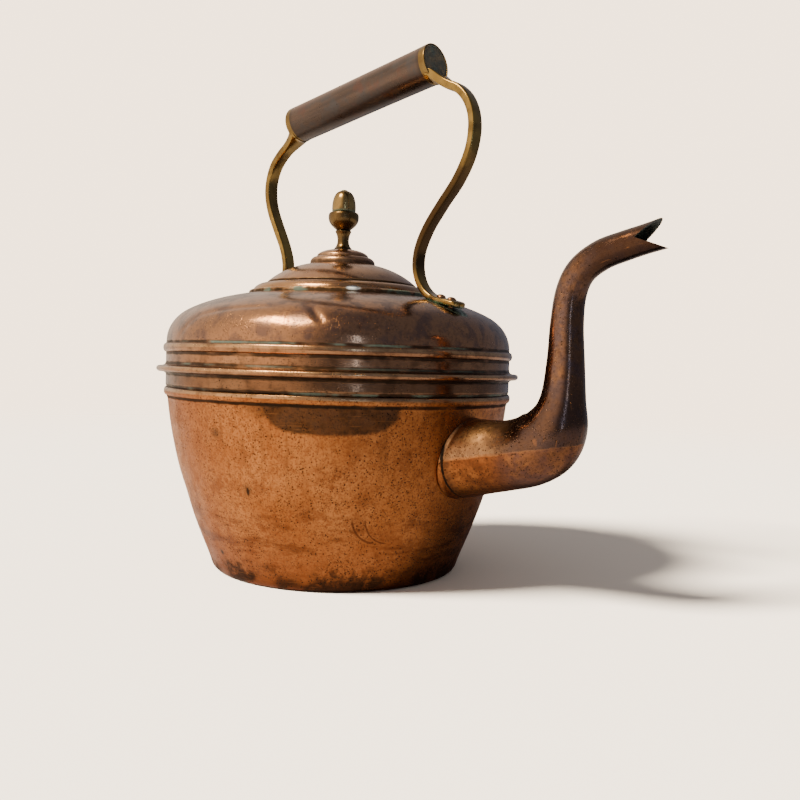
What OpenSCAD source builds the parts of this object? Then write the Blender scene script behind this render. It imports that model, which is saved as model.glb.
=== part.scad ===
/* [Body] */
// Thickness of the copper sheet that the body, collar and spout are made of
wall = 1.2; // [0.9:0.1:1.5]
// Radius of the flat underside that the kettle stands on
base_r = 77; // [72:0.5:79]
// Height of the brazed seam between the base plate and the tapered wall
base_seam_z = 8; // [7:0.5:9]
// Outer radius of the tapered wall at the base seam
base_seam_r = 83; // [82:0.2:84]
// Outer radius of the straight band at the waist
band_r = 112.2; // [111:0.2:113]
// Height of the middle of the lower swaged bead
lower_bead_z = 113.2; // [111:0.2:114]
// Height of the joint inside the folded waist seam
waist_z = 127.8; // [126.5:0.1:128.5]
// Outer radius of the folded waist seam
waist_r = 118; // [117.5:0.1:119]
// Height of the middle of the upper swaged bead
upper_bead_z = 140.3; // [139:0.1:141]
// Half the height of a swaged bead
bead_half = 2.7; // [2.2:0.1:3]

/* [Spout] */
// Height of the spout's axis where it leaves the wall
spout_root_z = 79.5; // [76:0.5:82]
// Radius of the water passage cut through the body wall
spout_hole_r = 18; // [14:0.5:19]
// How far along X the notch of the beak is cut back to
beak_notch_x = 209.6; // [207:0.2:213]

/* [Lid] */
// Radius of the lid's outer edge
lid_r = 49.2; // [48.6:0.1:49.6]
// Height of the lid's outer edge
lid_edge_z = 184.3; // [183.8:0.1:184.8]
// Outer radius of the skirt that fits inside the collar
skirt_r = 47.2; // [46:0.1:47.3]
// Thickness of the lid's copper sheet
lid_wall = 1.0; // [0.8:0.1:1.2]
// Height of the flat crown of the lid, which the boss sits on
lid_top_z = 198.4; // [197:0.2:200]
// Height of the turned finial, from the boss to the tip of the acorn
finial_h = 39.4; // [37:0.2:41]

/* [Handle] */
// Length of the grip, over its end caps
grip_len = 123; // [118:1:126]
// Outer radius of the copper grip tube
grip_r = 11.9; // [11.4:0.1:12.4]
// Angle at which the grip rises towards the spout
grip_tilt = 8.5; // [7:0.1:10]
// Width of the brass arms
arm_w = 9.2; // [8:0.1:10.5]
// Thickness of the brass arms where they leave the grip
arm_grip_t = 5.2; // [4:0.1:6]
// Thickness of the brass arms at their feet
arm_foot_t = 3.9; // [3:0.1:4.6]
// Width of the flattened feet
foot_w = 13; // [11:0.5:15]
// Thickness of the flattened feet
foot_t = 3.6; // [2.6:0.1:4]
// Radius of a rivet's shank
rivet_r = 1.6; // [1.4:0.1:2]

/* [Hidden] */
$fn = 96;

copper = [0.72, 0.40, 0.22];
dark_copper = [0.50, 0.31, 0.24];
brass = [0.62, 0.50, 0.25];

// ---- curves in the radius/height plane or the X/Z plane ----

function bezier(a, b, c, d, steps) = [
    for (i = [0 : steps])
        let (t = i / steps, s = 1 - t)
        s * s * s * a + 3 * s * s * t * b + 3 * s * t * t * c + t * t * t * d
];

// Half ellipse that stands proud of a straight wall
function bead(r, z, proud, half) = [
    for (a = [-90 : 15 : 90]) [r + proud * cos(a), z + half * sin(a)]
];

// Smooth curve through every point of a list
function through(pts, steps) = [
    for (i = [0 : len(pts) - 2])
        let (
            p0 = pts[max(i - 1, 0)],
            p1 = pts[i],
            p2 = pts[i + 1],
            p3 = pts[min(i + 2, len(pts) - 1)]
        )
        for (k = [0 : steps - 1])
            let (t = k / steps)
            p1 + 0.5 * t * ((p2 - p0) + t * ((2 * p0 - 5 * p1 + 4 * p2 - p3)
               + t * (3 * p1 - p0 - 3 * p2 + p3))),
    pts[len(pts) - 1]
];

function unit(v) = v / norm(v);
function tangent(pts, i) = unit(pts[min(i + 1, len(pts) - 1)] - pts[max(i - 1, 0)]);

// Point i of a curve, moved d to the left of the direction of travel
function beside(pts, i, d) =
    let (v = tangent(pts, i))
    pts[i] + d * [-v[1], v[0]];

// The whole curve moved d to the left, and kept on the outer side of the axis
function shifted(pts, d) = [
    for (i = [0 : len(pts) - 1])
        let (p = beside(pts, i, d))
        [max(p[0], 0), p[1]]
];

function reversed(pts) = [for (i = [len(pts) - 1 : -1 : 0]) pts[i]];
function part_of(pts, first, last) = [for (i = [first : last]) pts[i]];

// ---- body outline, from the axis outwards and up to the neck ----

base_curve = concat(
    [[0, 0], [base_r - 6, 0]],
    bezier([base_r, 0], [base_r + 4, 0], [base_seam_r - 1.6, base_seam_z - 4.6],
           [base_seam_r, base_seam_z], 10)
);
lower_curve = bezier(
    [base_seam_r, base_seam_z], [97.2, 41], [107.6, 75], [band_r - 1.4, lower_bead_z - 5], 16
);
lower_bead_curve = bead(band_r - 0.6, lower_bead_z, 1.6, bead_half);
lower_wall = concat(base_curve, part_of(lower_curve, 1, 16));
lower_outline = concat(lower_wall, lower_bead_curve, [[band_r, lower_bead_z + 4]]);
seam_index = len(base_curve) - 1;
lower_inside = shifted(concat(lower_wall, [[band_r, lower_bead_z + 4], [band_r, waist_z]]), wall);

neck_low_z = 170;
neck_open_r = 54;
shoulder_top = [neck_open_r, 177.7];
shoulder_foot = [65, 175.9];
shoulder_curve = concat(
    bezier([band_r - 0.2, 144.2], [band_r - 0.2, 152.5], [107.5, 160.4], [98, 165.4], 12),
    part_of(bezier([98, 165.4], [89, 170.1], [78, 173.5], shoulder_foot, 10), 1, 10),
    [shoulder_top]
);
upper_bead_curve = bead(band_r, upper_bead_z, 1.7, bead_half);
upper_outline = concat([[band_r, waist_z + 3.4]], upper_bead_curve, shoulder_curve);
upper_inside = concat([[band_r - wall, waist_z]], shifted(shoulder_curve, wall));

// The body as one solid, to its outer face
module body_envelope() {
    outline = concat(
        part_of(lower_outline, 1, len(lower_outline) - 1), upper_outline,
        [[0, shoulder_top[1]], [0, 0]]
    );
    rotate_extrude() polygon(outline);
}

// Outer edge of the lower body's flange, inside the fold
flange_r = waist_r - wall - 0.6;

module base_plate() {
    outer = part_of(lower_outline, 0, seam_index);
    inner = part_of(lower_inside, 0, seam_index);
    color(copper) rotate_extrude() polygon(concat(outer, reversed(inner)));
}

module body_lower() {
    outer = part_of(lower_outline, seam_index, len(lower_outline) - 1);
    inner = part_of(lower_inside, seam_index, len(lower_inside) - 1);
    color(copper) difference() {
        rotate_extrude() {
            polygon(concat(outer, [[band_r, waist_z]], reversed(inner)));
            translate([band_r - wall, waist_z - wall]) square([flange_r - band_r + wall, wall]);
        }
        spout_passage();
    }
}

// Bore through the wall into the spout
module spout_passage() {
    translate([80, 0, spout_root_z]) rotate([0, 90, 0]) cylinder(r = spout_hole_r, h = 50);
}

// Shoulder, with the edge folded down and under the lower body's flange
module body_upper() {
    fold_half = 1.5 * wall;
    fold_mid = [waist_r - fold_half, waist_z - wall / 2];
    fold = concat(
        [[flange_r, waist_z], [flange_r, waist_z - wall], [band_r, waist_z - wall]],
        [[band_r, waist_z - 4], [band_r + 0.8, waist_z - 3.1]],
        [for (a = [-90 : 15 : 90]) fold_mid + fold_half * [cos(a), sin(a)]],
        [[band_r + 0.8, waist_z + 1.9]]
    );
    color(copper) difference() {
        rotate_extrude() polygon(concat(fold, upper_outline, reversed(upper_inside)));
        at_front_foot() rivet_holes();
        at_rear_foot() rivet_holes();
    }
}

// Moulded ring soldered over the neck opening
module lid_collar() {
    top_z = lid_edge_z - 0.4;
    neck_in = skirt_r + 0.5;
    foot_r = 61.2;
    groove = [58.6, on_shoulder(58.6) + 1.2];
    color(copper) rotate_extrude() difference() {
        polygon(concat(
            [[neck_in, neck_low_z], [neck_in, top_z - 0.8], [neck_in + 0.8, top_z]],
            bezier([50.2, top_z], [54, top_z - 0.2], [57.8, top_z - 1.8], groove, 8),
            bezier(groove + [0.5, 0.9], groove + [1.4, 1.6], [foot_r + 0.2, groove[1] + 0.6],
                   [foot_r, on_shoulder(foot_r)], 5),
            [shoulder_top, [neck_open_r - 2, shoulder_top[1] - 6], [neck_in + wall, neck_low_z]]
        ));
        polygon([
            [neck_in + wall, shoulder_top[1]], [neck_in + wall, top_z - 2], [51.4, top_z - 1.5],
            [55.4, top_z - 2.8], [56.4, groove[1]], [neck_open_r, shoulder_top[1] + 1.3],
            [neck_open_r - 1, shoulder_top[1]]
        ]);
    }
}

// Height of the straight cone at the top of the shoulder, at radius r
function on_shoulder(r) =
    shoulder_top[1]
    + (shoulder_foot[1] - shoulder_top[1]) * (r - neck_open_r) / (shoulder_foot[0] - neck_open_r);

// ---- spout ----

// Middle line of the spout from inside the body to past the beak, in X and Z
spout_line = [
    [92, 79], [104, 79.6], [118, 81.6], [135, 84], [150, 88.2], [160.4, 95],
    [166.6, 105], [169.2, 118], [169.9, 138], [169.8, 158], [171.6, 174.5], [177.2, 186],
    [188.4, 193.6], [201.6, 197.6], [214, 200.6], [228, 203.8]
];
// Outer radius at each of those points
spout_radius = [
    23.8, 23.4, 21.8, 20, 19.8, 19.4, 16.6, 12.3, 10.2, 9, 8.4, 8.2, 8.1, 7.8, 7.6, 8
];
spout_steps = 3;
spout_sides = 30;

// Tube along the middle line, with its radius made smaller by thin
module spout_tube(thin) {
    line = through(spout_line, spout_steps);
    radii = through([for (r = spout_radius) [r, 0]], spout_steps);
    rings = len(line);
    points = [
        for (i = [0 : rings - 1])
            let (v = tangent(line, i), r = radii[i][0] - thin)
            for (k = [0 : spout_sides - 1])
                let (a = 360 * k / spout_sides)
                [line[i][0] - r * cos(a) * v[1], r * sin(a), line[i][1] + r * cos(a) * v[0]]
    ];
    sides = [
        for (i = [0 : rings - 2])
            for (k = [0 : spout_sides - 1])
                let (
                    a = i * spout_sides + k,
                    b = i * spout_sides + (k + 1) % spout_sides
                )
                each [[a, b, b + spout_sides], [a, b + spout_sides, a + spout_sides]]
    ];
    start = [for (k = [spout_sides - 1 : -1 : 0]) k];
    end = [for (k = [0 : spout_sides - 1]) (rings - 1) * spout_sides + k];
    polyhedron(points, concat(sides, [start], [end]));
}

// V cut that leaves a pointed lip above and below
module beak_cut() {
    notch = [beak_notch_x, 200.6];
    upper = notch + 3 * [10.9, 9.4];
    lower = notch + 3 * [15.1, -5.7];
    rotate([90, 0, 0]) linear_extrude(60, center = true) polygon([notch, lower, upper]);
}

module spout() {
    color(copper) difference() {
        spout_tube(0);
        spout_tube(wall);
        body_envelope();
        beak_cut();
    }
}

// ---- handle ----

grip_mid = [13.8, 306.1];
grip_dir = [cos(grip_tilt), sin(grip_tilt)];
grip_up = [-sin(grip_tilt), cos(grip_tilt)];
cap_band = 4.5;
front_tang_drop = 11;
rear_tang_drop = 9.2;

// Point in the X/Z plane, u along the grip from its middle and drop below its axis
function on_grip_line(u, drop) = grip_mid + u * grip_dir - drop * grip_up;

foot_tilt = 13.5;
front_foot = [87, 170.4];
rear_foot = [-80.5, 172];
foot_half = 13.2;
rivet_pitch = 8;

front_arm_line = [
    on_grip_line(grip_len / 2 - cap_band + 0.5, front_tang_drop),
    on_grip_line(grip_len / 2 + 0.5, front_tang_drop),
    [84.2, 300.6], [93.2, 296.2], [99.8, 289.4], [103.9, 280], [104.6, 269], [101.6, 256.5],
    [94, 243], [82.8, 229.8], [73, 217.2], [67, 205.4], [65.4, 195.4], [67, 187],
    [70.8, 180.2], [76.4, 175.4], [84, 172.6]
];
rear_arm_line = [
    on_grip_line(cap_band - 0.5 - grip_len / 2, rear_tang_drop),
    on_grip_line(-grip_len / 2 - 0.5, rear_tang_drop),
    [-56, 282.3], [-63, 277.2], [-69.2, 270.2], [-73, 260], [-73.1, 249.6], [-70.1, 239],
    [-63.8, 226.4], [-57, 213.2], [-53.6, 202], [-54.4, 192.6], [-59, 185.6], [-66, 180.2],
    [-75, 175]
];

module at_front_foot() {
    translate([front_foot[0], 0, front_foot[1]]) rotate([0, foot_tilt, 0]) children();
}

module at_rear_foot() {
    translate([rear_foot[0], 0, rear_foot[1]]) rotate([0, -foot_tilt, 0]) children();
}

// Bar along a line in the X/Z plane that tapers evenly towards the foot
module arm_bar(line) {
    curve = through(line, 4);
    last = len(curve) - 1;
    half = [for (i = [0 : last]) (arm_grip_t + (arm_foot_t - arm_grip_t) * i / last) / 2];
    left = [for (i = [0 : last]) beside(curve, i, half[i])];
    right = [for (i = [last : -1 : 0]) beside(curve, i, -half[i])];
    rotate([90, 0, 0]) linear_extrude(arm_w, center = true) polygon(concat(left, right));
}

// Flat foot with round ends, its underside at height 0
module foot_plate() {
    side = foot_half - foot_w / 2;
    translate([-side, -foot_w / 2, 0]) cube([2 * side, foot_w, foot_t]);
    for (x = [-side, side]) translate([x, 0, 0]) cylinder(d = foot_w, h = foot_t);
}

module rivet_holes() {
    for (x = [-rivet_pitch / 2, rivet_pitch / 2])
        translate([x, 0, -8]) cylinder(r = rivet_r, h = 20);
}

module handle_arm_front() {
    color(brass) difference() {
        union() {
            arm_bar(front_arm_line);
            at_front_foot() foot_plate();
        }
        body_envelope();
        at_front_foot() rivet_holes();
        at_front_foot() translate([0, 0, foot_t]) head_room();
    }
}

module handle_arm_rear() {
    color(brass) difference() {
        union() {
            arm_bar(rear_arm_line);
            at_rear_foot() foot_plate();
        }
        body_envelope();
        at_rear_foot() rivet_holes();
        at_rear_foot() translate([0, 0, foot_t]) head_room();
    }
}

// Space kept flat above the foot for the rivet heads
module head_room() {
    for (x = [-rivet_pitch / 2, rivet_pitch / 2])
        translate([x, 0, 0]) cylinder(r = 3.3, h = 6);
}

// Two rivets with domed heads over the foot and peened ends under the sheet
module foot_rivets() {
    head_r = 3;
    head_h = 1.7;
    ball_r = (head_r * head_r + head_h * head_h) / (2 * head_h);
    tail = rivet_grip + rove_t + 0.8;
    for (x = [-rivet_pitch / 2, rivet_pitch / 2]) translate([x, 0, 0]) {
        translate([0, 0, -tail]) cylinder(r = rivet_r, h = tail + foot_t);
        translate([0, 0, foot_t]) intersection() {
            translate([0, 0, head_h - ball_r]) sphere(r = ball_r);
            cylinder(r = head_r, h = head_h);
        }
    }
}

rivet_grip = 2.6;
rove_t = 0.8;

// Washers that spread the rivets' load inside the body
module rivet_roves() {
    for (x = [-rivet_pitch / 2, rivet_pitch / 2]) translate([x, 0, -rivet_grip - rove_t])
        difference() {
            cylinder(r = 3.6, h = rove_t);
            translate([0, 0, -1]) cylinder(r = rivet_r, h = rove_t + 2);
        }
}

module front_foot_rivets() { color(copper) at_front_foot() foot_rivets(); }
module rear_foot_rivets() { color(copper) at_rear_foot() foot_rivets(); }
module front_rivet_roves() { color(copper) at_front_foot() rivet_roves(); }
module rear_rivet_roves() { color(copper) at_rear_foot() rivet_roves(); }

tube_t = 1;

// Z runs along the grip, towards the spout
module on_grip() {
    translate([grip_mid[0], 0, grip_mid[1]]) rotate([0, 90 - grip_tilt, 0]) children();
}

module grip_tube() {
    tube_len = grip_len - 2 * cap_band;
    color(dark_copper) on_grip() difference() {
        cylinder(r = grip_r, h = tube_len, center = true);
        cylinder(r = grip_r - tube_t, h = tube_len + 2, center = true);
    }
}

// Brass cup with a band as wide as the tube and a spigot inside it
module grip_cap() {
    rim = 0.8;
    dish = 0.5;
    spigot = 4;
    disc_t = 1.6;
    rotate_extrude() polygon([
        [0, -dish], [grip_r - rim, -dish], [grip_r - rim, 0], [grip_r, -0.3],
        [grip_r, -cap_band], [grip_r - tube_t, -cap_band], [grip_r - tube_t, -cap_band - spigot],
        [grip_r - tube_t - 1.4, -cap_band - spigot], [grip_r - tube_t - 1.4, -dish - disc_t],
        [0, -dish - disc_t]
    ]);
}

module grip_cap_front() {
    color(brass) difference() {
        on_grip() translate([0, 0, grip_len / 2]) grip_cap();
        arm_bar(front_arm_line);
    }
}

module grip_cap_rear() {
    color(brass) difference() {
        on_grip() mirror([0, 0, 1]) translate([0, 0, grip_len / 2]) grip_cap();
        arm_bar(rear_arm_line);
    }
}

// ---- lid ----

stud_r = 2;
lid_curve = concat(
    [[lid_r - 0.5, lid_edge_z], [lid_r, lid_edge_z + 0.5]],
    bezier([lid_r - 0.5, lid_edge_z + 1.2], [44, lid_edge_z + 5.6], [34, lid_top_z - 2.5],
           [22, lid_top_z - 0.5], 12),
    [[12, lid_top_z], [stud_r, lid_top_z]]
);

module lid_dome() {
    inner = shifted(part_of(lid_curve, 2, len(lid_curve) - 1), lid_wall);
    color(copper) rotate_extrude() polygon(concat(
        lid_curve, reversed([for (p = inner) [max(p[0], stud_r), p[1]]]),
        [[skirt_r, lid_edge_z]]
    ));
}

module lid_skirt() {
    skirt_h = 12;
    color(copper) rotate_extrude() polygon([
        [skirt_r - 1, lid_edge_z - skirt_h], [skirt_r, lid_edge_z - skirt_h],
        [skirt_r, lid_edge_z], [skirt_r - 1, lid_edge_z + 0.4]
    ]);
}

boss_h = 9.8;

// Stepped boss spun from sheet, hollow underneath
module lid_boss() {
    outer = concat(
        bezier([21.4, -0.4], [21.8, 2.2], [20.2, 3.9], [18, 4.6], 6),
        bezier([17, 5], [17.2, 7], [12, 9.2], [6.5, boss_h], 8)
    );
    inner = bezier([6.5, boss_h - 1.2], [12, 8], [19.4, 3], [20, 0.4], 8);
    color(copper) translate([0, 0, lid_top_z]) rotate_extrude() polygon(concat(
        outer, [[stud_r, boss_h], [stud_r, boss_h - 1.2]], inner, [[20, -0.4]]
    ));
}

cup_h = 24.4;

// Turned stem and acorn cup
module finial_cup() {
    color(brass) translate([0, 0, lid_top_z + boss_h]) rotate_extrude() polygon(concat(
        [[stud_r, 0], [6, 0]],
        bezier([5.9, 0.8], [4.4, 2.2], [3.7, 4.2], [3.8, 6.6], 6),
        bezier([3.9, 7.4], [4.1, 9.2], [4.6, 10.4], [5, 11.2], 4),
        [[5.3, 11.8], [5, 12.4], [4.6, 12.8]],
        bezier([5.1, 13.4], [6.8, 14.8], [10.2, 17], [10.1, 21.4], 8),
        [[9.9, 23], [9.3, 24.1], [7.6, cup_h], [stud_r, cup_h]]
    ));
}

// Turned acorn, drilled from below for the stud
module finial_acorn() {
    shoulder = cup_h + 0.8;
    tip = finial_h;
    bore_h = 7;
    color(brass) translate([0, 0, lid_top_z + boss_h]) rotate_extrude() difference() {
        polygon(concat(
            [[0, cup_h], [7.4, cup_h], [7.8, shoulder]],
            bezier([7.9, shoulder + 1.6], [7.9, shoulder + 8], [6.2, tip - 1.4],
                   [2.3, tip - 0.8], 10),
            [[1.9, tip - 0.3], [1.5, tip], [0, tip]]
        ));
        square([stud_r, cup_h + bore_h]);
    }
}

nut_h = 4;
washer_t = 1.2;
washer_z = lid_top_z - lid_wall - washer_t;

// Stud from below the nut up into the acorn
module finial_stud() {
    low = washer_z - nut_h - 2;
    high = lid_top_z + boss_h + cup_h + 6;
    color(brass) translate([0, 0, low]) cylinder(r = stud_r, h = high - low);
}

module finial_washer() {
    color(brass) translate([0, 0, washer_z]) difference() {
        cylinder(r = 8, h = washer_t);
        translate([0, 0, -1]) cylinder(r = stud_r, h = washer_t + 2);
    }
}

module finial_nut() {
    color(brass) translate([0, 0, washer_z - nut_h]) difference() {
        cylinder(r = 5.2, h = nut_h, $fn = 6);
        translate([0, 0, -1]) cylinder(r = stud_r, h = nut_h + 2);
    }
}

base_plate();
body_lower();
body_upper();
lid_collar();
spout();
handle_arm_front();
handle_arm_rear();
grip_tube();
grip_cap_front();
grip_cap_rear();
front_foot_rivets();
rear_foot_rivets();
front_rivet_roves();
rear_rivet_roves();
lid_dome();
lid_skirt();
lid_boss();
finial_cup();
finial_acorn();
finial_stud();
finial_washer();
finial_nut();
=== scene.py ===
"""Old copper kettle: the visible pieces, materials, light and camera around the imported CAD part.

Shapes are worked out in millimetres in the row frame, and turned into metres when a mesh is made.
"""
import math

import bmesh
import bpy
import numpy as np
from mathutils import Matrix, Vector


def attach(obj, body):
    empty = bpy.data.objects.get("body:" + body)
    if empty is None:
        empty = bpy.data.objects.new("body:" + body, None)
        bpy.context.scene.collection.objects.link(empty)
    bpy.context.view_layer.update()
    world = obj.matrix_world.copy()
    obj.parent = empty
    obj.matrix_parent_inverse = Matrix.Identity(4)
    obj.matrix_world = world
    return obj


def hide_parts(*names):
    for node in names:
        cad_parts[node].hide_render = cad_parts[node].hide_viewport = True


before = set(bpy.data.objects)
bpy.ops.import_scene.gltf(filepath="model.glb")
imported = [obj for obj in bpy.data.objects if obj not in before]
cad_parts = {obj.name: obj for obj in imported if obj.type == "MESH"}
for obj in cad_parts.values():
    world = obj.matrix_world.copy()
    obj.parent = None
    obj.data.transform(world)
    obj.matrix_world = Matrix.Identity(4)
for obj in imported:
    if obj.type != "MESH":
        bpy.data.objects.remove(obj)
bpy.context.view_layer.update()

MM = 0.001
WALL = 1.2


# ---- curves: arrays of points, in the radius/height plane or the X/Z plane ----

def bezier(a, b, c, d, steps):
    a, b, c, d = (np.array(p, float) for p in (a, b, c, d))
    t = np.linspace(0, 1, steps + 1)[:, None]
    s = 1 - t
    return s**3 * a + 3 * s * s * t * b + 3 * s * t * t * c + t**3 * d


def through(points, steps):
    """Smooth curve through every point, the same spline as the CAD source's."""
    p = np.asarray(points, float)
    if p.ndim == 1:
        p = p[:, None]
    rows = []
    for i in range(len(p) - 1):
        p0, p1, p2, p3 = p[max(i - 1, 0)], p[i], p[i + 1], p[min(i + 2, len(p) - 1)]
        t = (np.arange(steps) / steps)[:, None]
        rows.append(p1 + 0.5 * t * ((p2 - p0) + t * ((2 * p0 - 5 * p1 + 4 * p2 - p3)
                    + t * (3 * p1 - p0 - 3 * p2 + p3))))
    rows.append(p[-1:])
    return np.vstack(rows)


def bead(r, z, proud, half, steps=18):
    a = np.linspace(-np.pi / 2, np.pi / 2, steps + 1)
    return np.column_stack([r + proud * np.cos(a), z + half * np.sin(a)])


def tangents(points):
    v = np.gradient(np.asarray(points, float), axis=0)
    return v / np.linalg.norm(v, axis=1)[:, None]


def shifted(points, d):
    """The curve moved d to the left of its direction of travel."""
    v = tangents(points)
    return np.asarray(points, float) + d * np.column_stack([-v[:, 1], v[:, 0]])


def dense(points, step):
    """The same polyline with points no more than step apart."""
    points = np.asarray(points, float)
    rows = []
    for a, b in zip(points[:-1], points[1:]):
        n = max(1, int(math.ceil(np.linalg.norm(b - a) / step)))
        rows.append(a + (b - a) * (np.arange(n) / n)[:, None])
    rows.append(points[-1:])
    return np.vstack(rows)


# ---- meshes ----

def put_in_scene(name, data):
    obj = bpy.data.objects.new(name, data)
    bpy.context.scene.collection.objects.link(obj)
    return obj


def mesh_of(name, verts, faces):
    """A mesh in metres, from points in millimetres."""
    mesh = bpy.data.meshes.new(name)
    mesh.from_pydata((np.asarray(verts, float) * MM).tolist(), [], [list(map(int, f)) for f in faces])
    return mesh


def add_piece(name, verts, faces, kinds, materials, body, nodes, sharp=32, hole=None):
    """A closed mesh that rides on a CAD body and stands for CAD nodes. kinds gives each face's material."""
    mesh = mesh_of(name, verts, faces)
    for material in materials:
        mesh.materials.append(material)
    mesh.polygons.foreach_set("material_index", np.asarray(kinds, np.int32))
    obj = put_in_scene(name, mesh)
    clean(mesh)
    if hole is not None:
        cut_away(obj, hole)
    mesh = obj.data
    mesh.polygons.foreach_set("use_smooth", np.ones(len(mesh.polygons), bool))
    mesh.set_sharp_from_angle(angle=math.radians(sharp))
    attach(obj, body)
    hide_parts(*nodes)
    return obj


def clean(mesh):
    """Merges points that coincide, such as those on the axis, and turns the faces outwards."""
    bm = bmesh.new()
    bm.from_mesh(mesh)
    bmesh.ops.remove_doubles(bm, verts=bm.verts, dist=1e-6)
    bmesh.ops.dissolve_degenerate(bm, dist=1e-7, edges=bm.edges)
    bmesh.ops.recalc_face_normals(bm, faces=bm.faces)
    bm.to_mesh(mesh)
    bm.free()


def cut_away(obj, cutter):
    """Takes the cutter's shape out of the piece, and removes the cutter."""
    cut = obj.modifiers.new("cut", "BOOLEAN")
    cut.operation, cut.solver, cut.object = "DIFFERENCE", "EXACT", cutter
    graph = bpy.context.evaluated_depsgraph_get()
    made = bpy.data.meshes.new_from_object(obj.evaluated_get(graph))
    obj.modifiers.clear()
    made.name = obj.name
    obj.data = made
    bpy.data.objects.remove(cutter)


def bar_along_x(x0, x1, z, radius, sides=64):
    """Round cutter along X."""
    a = np.linspace(0, 2 * np.pi, sides, endpoint=False)
    ring = np.column_stack([np.zeros(sides), radius * np.cos(a), z + radius * np.sin(a)])
    verts = np.vstack([ring + [x0, 0, 0], ring + [x1, 0, 0]])
    k = np.arange(sides)
    faces = list(np.column_stack([k, (k + 1) % sides, (k + 1) % sides + sides, k + sides]))
    faces += [k[::-1], k + sides]
    obj = put_in_scene("cutter", mesh_of("cutter", verts, faces))
    bpy.context.view_layer.update()
    return obj


def grid_faces(rows, cols, wrap_rows, wrap_cols):
    """Quads over a rows by cols grid of points, and the column that each one starts in."""
    i = np.arange(rows if wrap_rows else rows - 1)
    j = np.arange(cols if wrap_cols else cols - 1)
    i, j = (a.ravel() for a in np.meshgrid(i, j, indexing="ij"))
    i1, j1 = (i + 1) % rows, (j + 1) % cols
    return np.column_stack([i * cols + j, i1 * cols + j, i1 * cols + j1, i * cols + j1]), i, j


def turned(name, outline, materials, body, nodes, kinds=None, sides=192, move=None, hole=None,
           sharp=32):
    """A closed outline turned about the Z axis. kinds gives the material of each of its edges."""
    outline = np.asarray(outline, float)
    a = np.linspace(0, 2 * np.pi, sides, endpoint=False)
    r, z = outline.T
    points = np.stack([np.outer(np.cos(a), r), np.outer(np.sin(a), r), np.tile(z, (sides, 1))], axis=-1)
    if move is not None:
        points = move(points)
    faces, _, j = grid_faces(sides, len(outline), True, True)
    kinds = np.zeros(len(outline), int) if kinds is None else np.asarray(kinds)
    return add_piece(name, points.reshape(-1, 3), faces, kinds[j], materials, body, nodes,
                     hole=hole, sharp=sharp)


def kinds_of(outline, *runs):
    """Material index of each edge: 0 and 1 in turn, for runs of so many edges, and the last to the end."""
    kinds = np.zeros(len(outline), int)
    for start in np.cumsum(runs):
        kinds[start:] = 1 - kinds[start:]
    return kinds


# ---- the copper's hand-made unevenness ----

# Dents and creases: centre, direction, half-length, half-width and depth
DENTS = [
    ((62, -83, 161), (11.7, -3.4, -8.6), 7.5, 2.0, 0.95),
    ((59, -92, 158), (1, 0.2, 0.4), 9, 6, 0.35),
    ((-19, -107, 152), (17, 3, 13), 9, 2.2, 0.45),
    ((3, -103, 161), (26, 5, 4), 13, 2.4, 0.5),
    ((26, -97, 163.5), (21, 7, 1), 12, 2.2, 0.4),
    ((-33, -100, 158), (1, 0.3, 0), 14, 9, 0.5),
    ((104, -20, 158), (0, 1, 0), 12, 8, 0.4),
    ((30, 98, 160), (1, -0.3, 0.1), 12, 6, 0.6),
    ((-70, 80, 157), (1, 1, 0), 10, 5, 0.5),
    ((-98, -40, 158), (0.4, -1, 0), 14, 7, 0.5),
    ((26, -98, 60), (1, 0.2, 0.3), 12, 9, 0.5),
    ((-60, -80, 48), (1, -0.6, 0.4), 16, 10, 0.6),
    ((80, -50, 38), (1, 1.2, 0.2), 12, 8, 0.4),
    ((-92, 30, 70), (0.2, 1, 0.3), 15, 9, 0.7),
    ((10, 97, 52), (1, 0, 0.4), 14, 8, 0.6),
    ((60, 80, 75), (1, -0.8, 0), 10, 8, 0.4),
]


def uneven(points):
    """Slow waves in the spun and hammered sheet, and its dents. Nothing moves outwards."""
    x, y, z = points[..., 0], points[..., 1], points[..., 2]
    angle = np.arctan2(y, x)
    radius = np.hypot(x, y)
    wave = (0.40 * np.sin(3 * angle + 1.1 + z / 41) + 0.30 * np.sin(5 * angle - 0.6 - z / 23)
            + 0.18 * np.sin(11 * angle + z / 13) + 0.12 * np.sin(17 * angle - z / 7))
    inward = 0.16 * (1 + wave) * np.clip(z / 15, 0, 1) * np.clip((radius - 66) / 20, 0, 1)
    scale = 1 - inward / np.maximum(radius, 1)
    moved = np.stack([x * scale, y * scale, z], axis=-1)
    for centre, direction, half_long, half_wide, depth in DENTS:
        c = np.array(centre, float)
        d = np.array(direction, float) / np.linalg.norm(direction)
        offset = moved - c
        along = offset @ d
        across = np.maximum((offset**2).sum(-1) - along**2, 0)
        share = np.exp(-(along / half_long) ** 2 - across / half_wide**2)
        rim = np.hypot(c[0], c[1])
        out = np.array([c[0] * (1 - 60 / rim), c[1] * (1 - 60 / rim), c[2] - min(c[2], 120)])
        moved = moved - (depth * share)[..., None] * out / np.linalg.norm(out)
    return moved


# ---- body, from the same numbers as the CAD source ----

BASE_SEAM = np.array([83, 8.0])
BAND_R = 112.2
LOWER_BEAD_Z = 113.2
UPPER_BEAD_Z = 140.3
WAIST_Z = 127.8
WAIST_R = 118.0
SPOUT_HOLE_Z = 79.5
SPOUT_HOLE_R = 18
NECK_R = 54.0
SHOULDER_TOP = np.array([NECK_R, 177.7])
SHOULDER_FOOT = np.array([65, 175.9])

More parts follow.
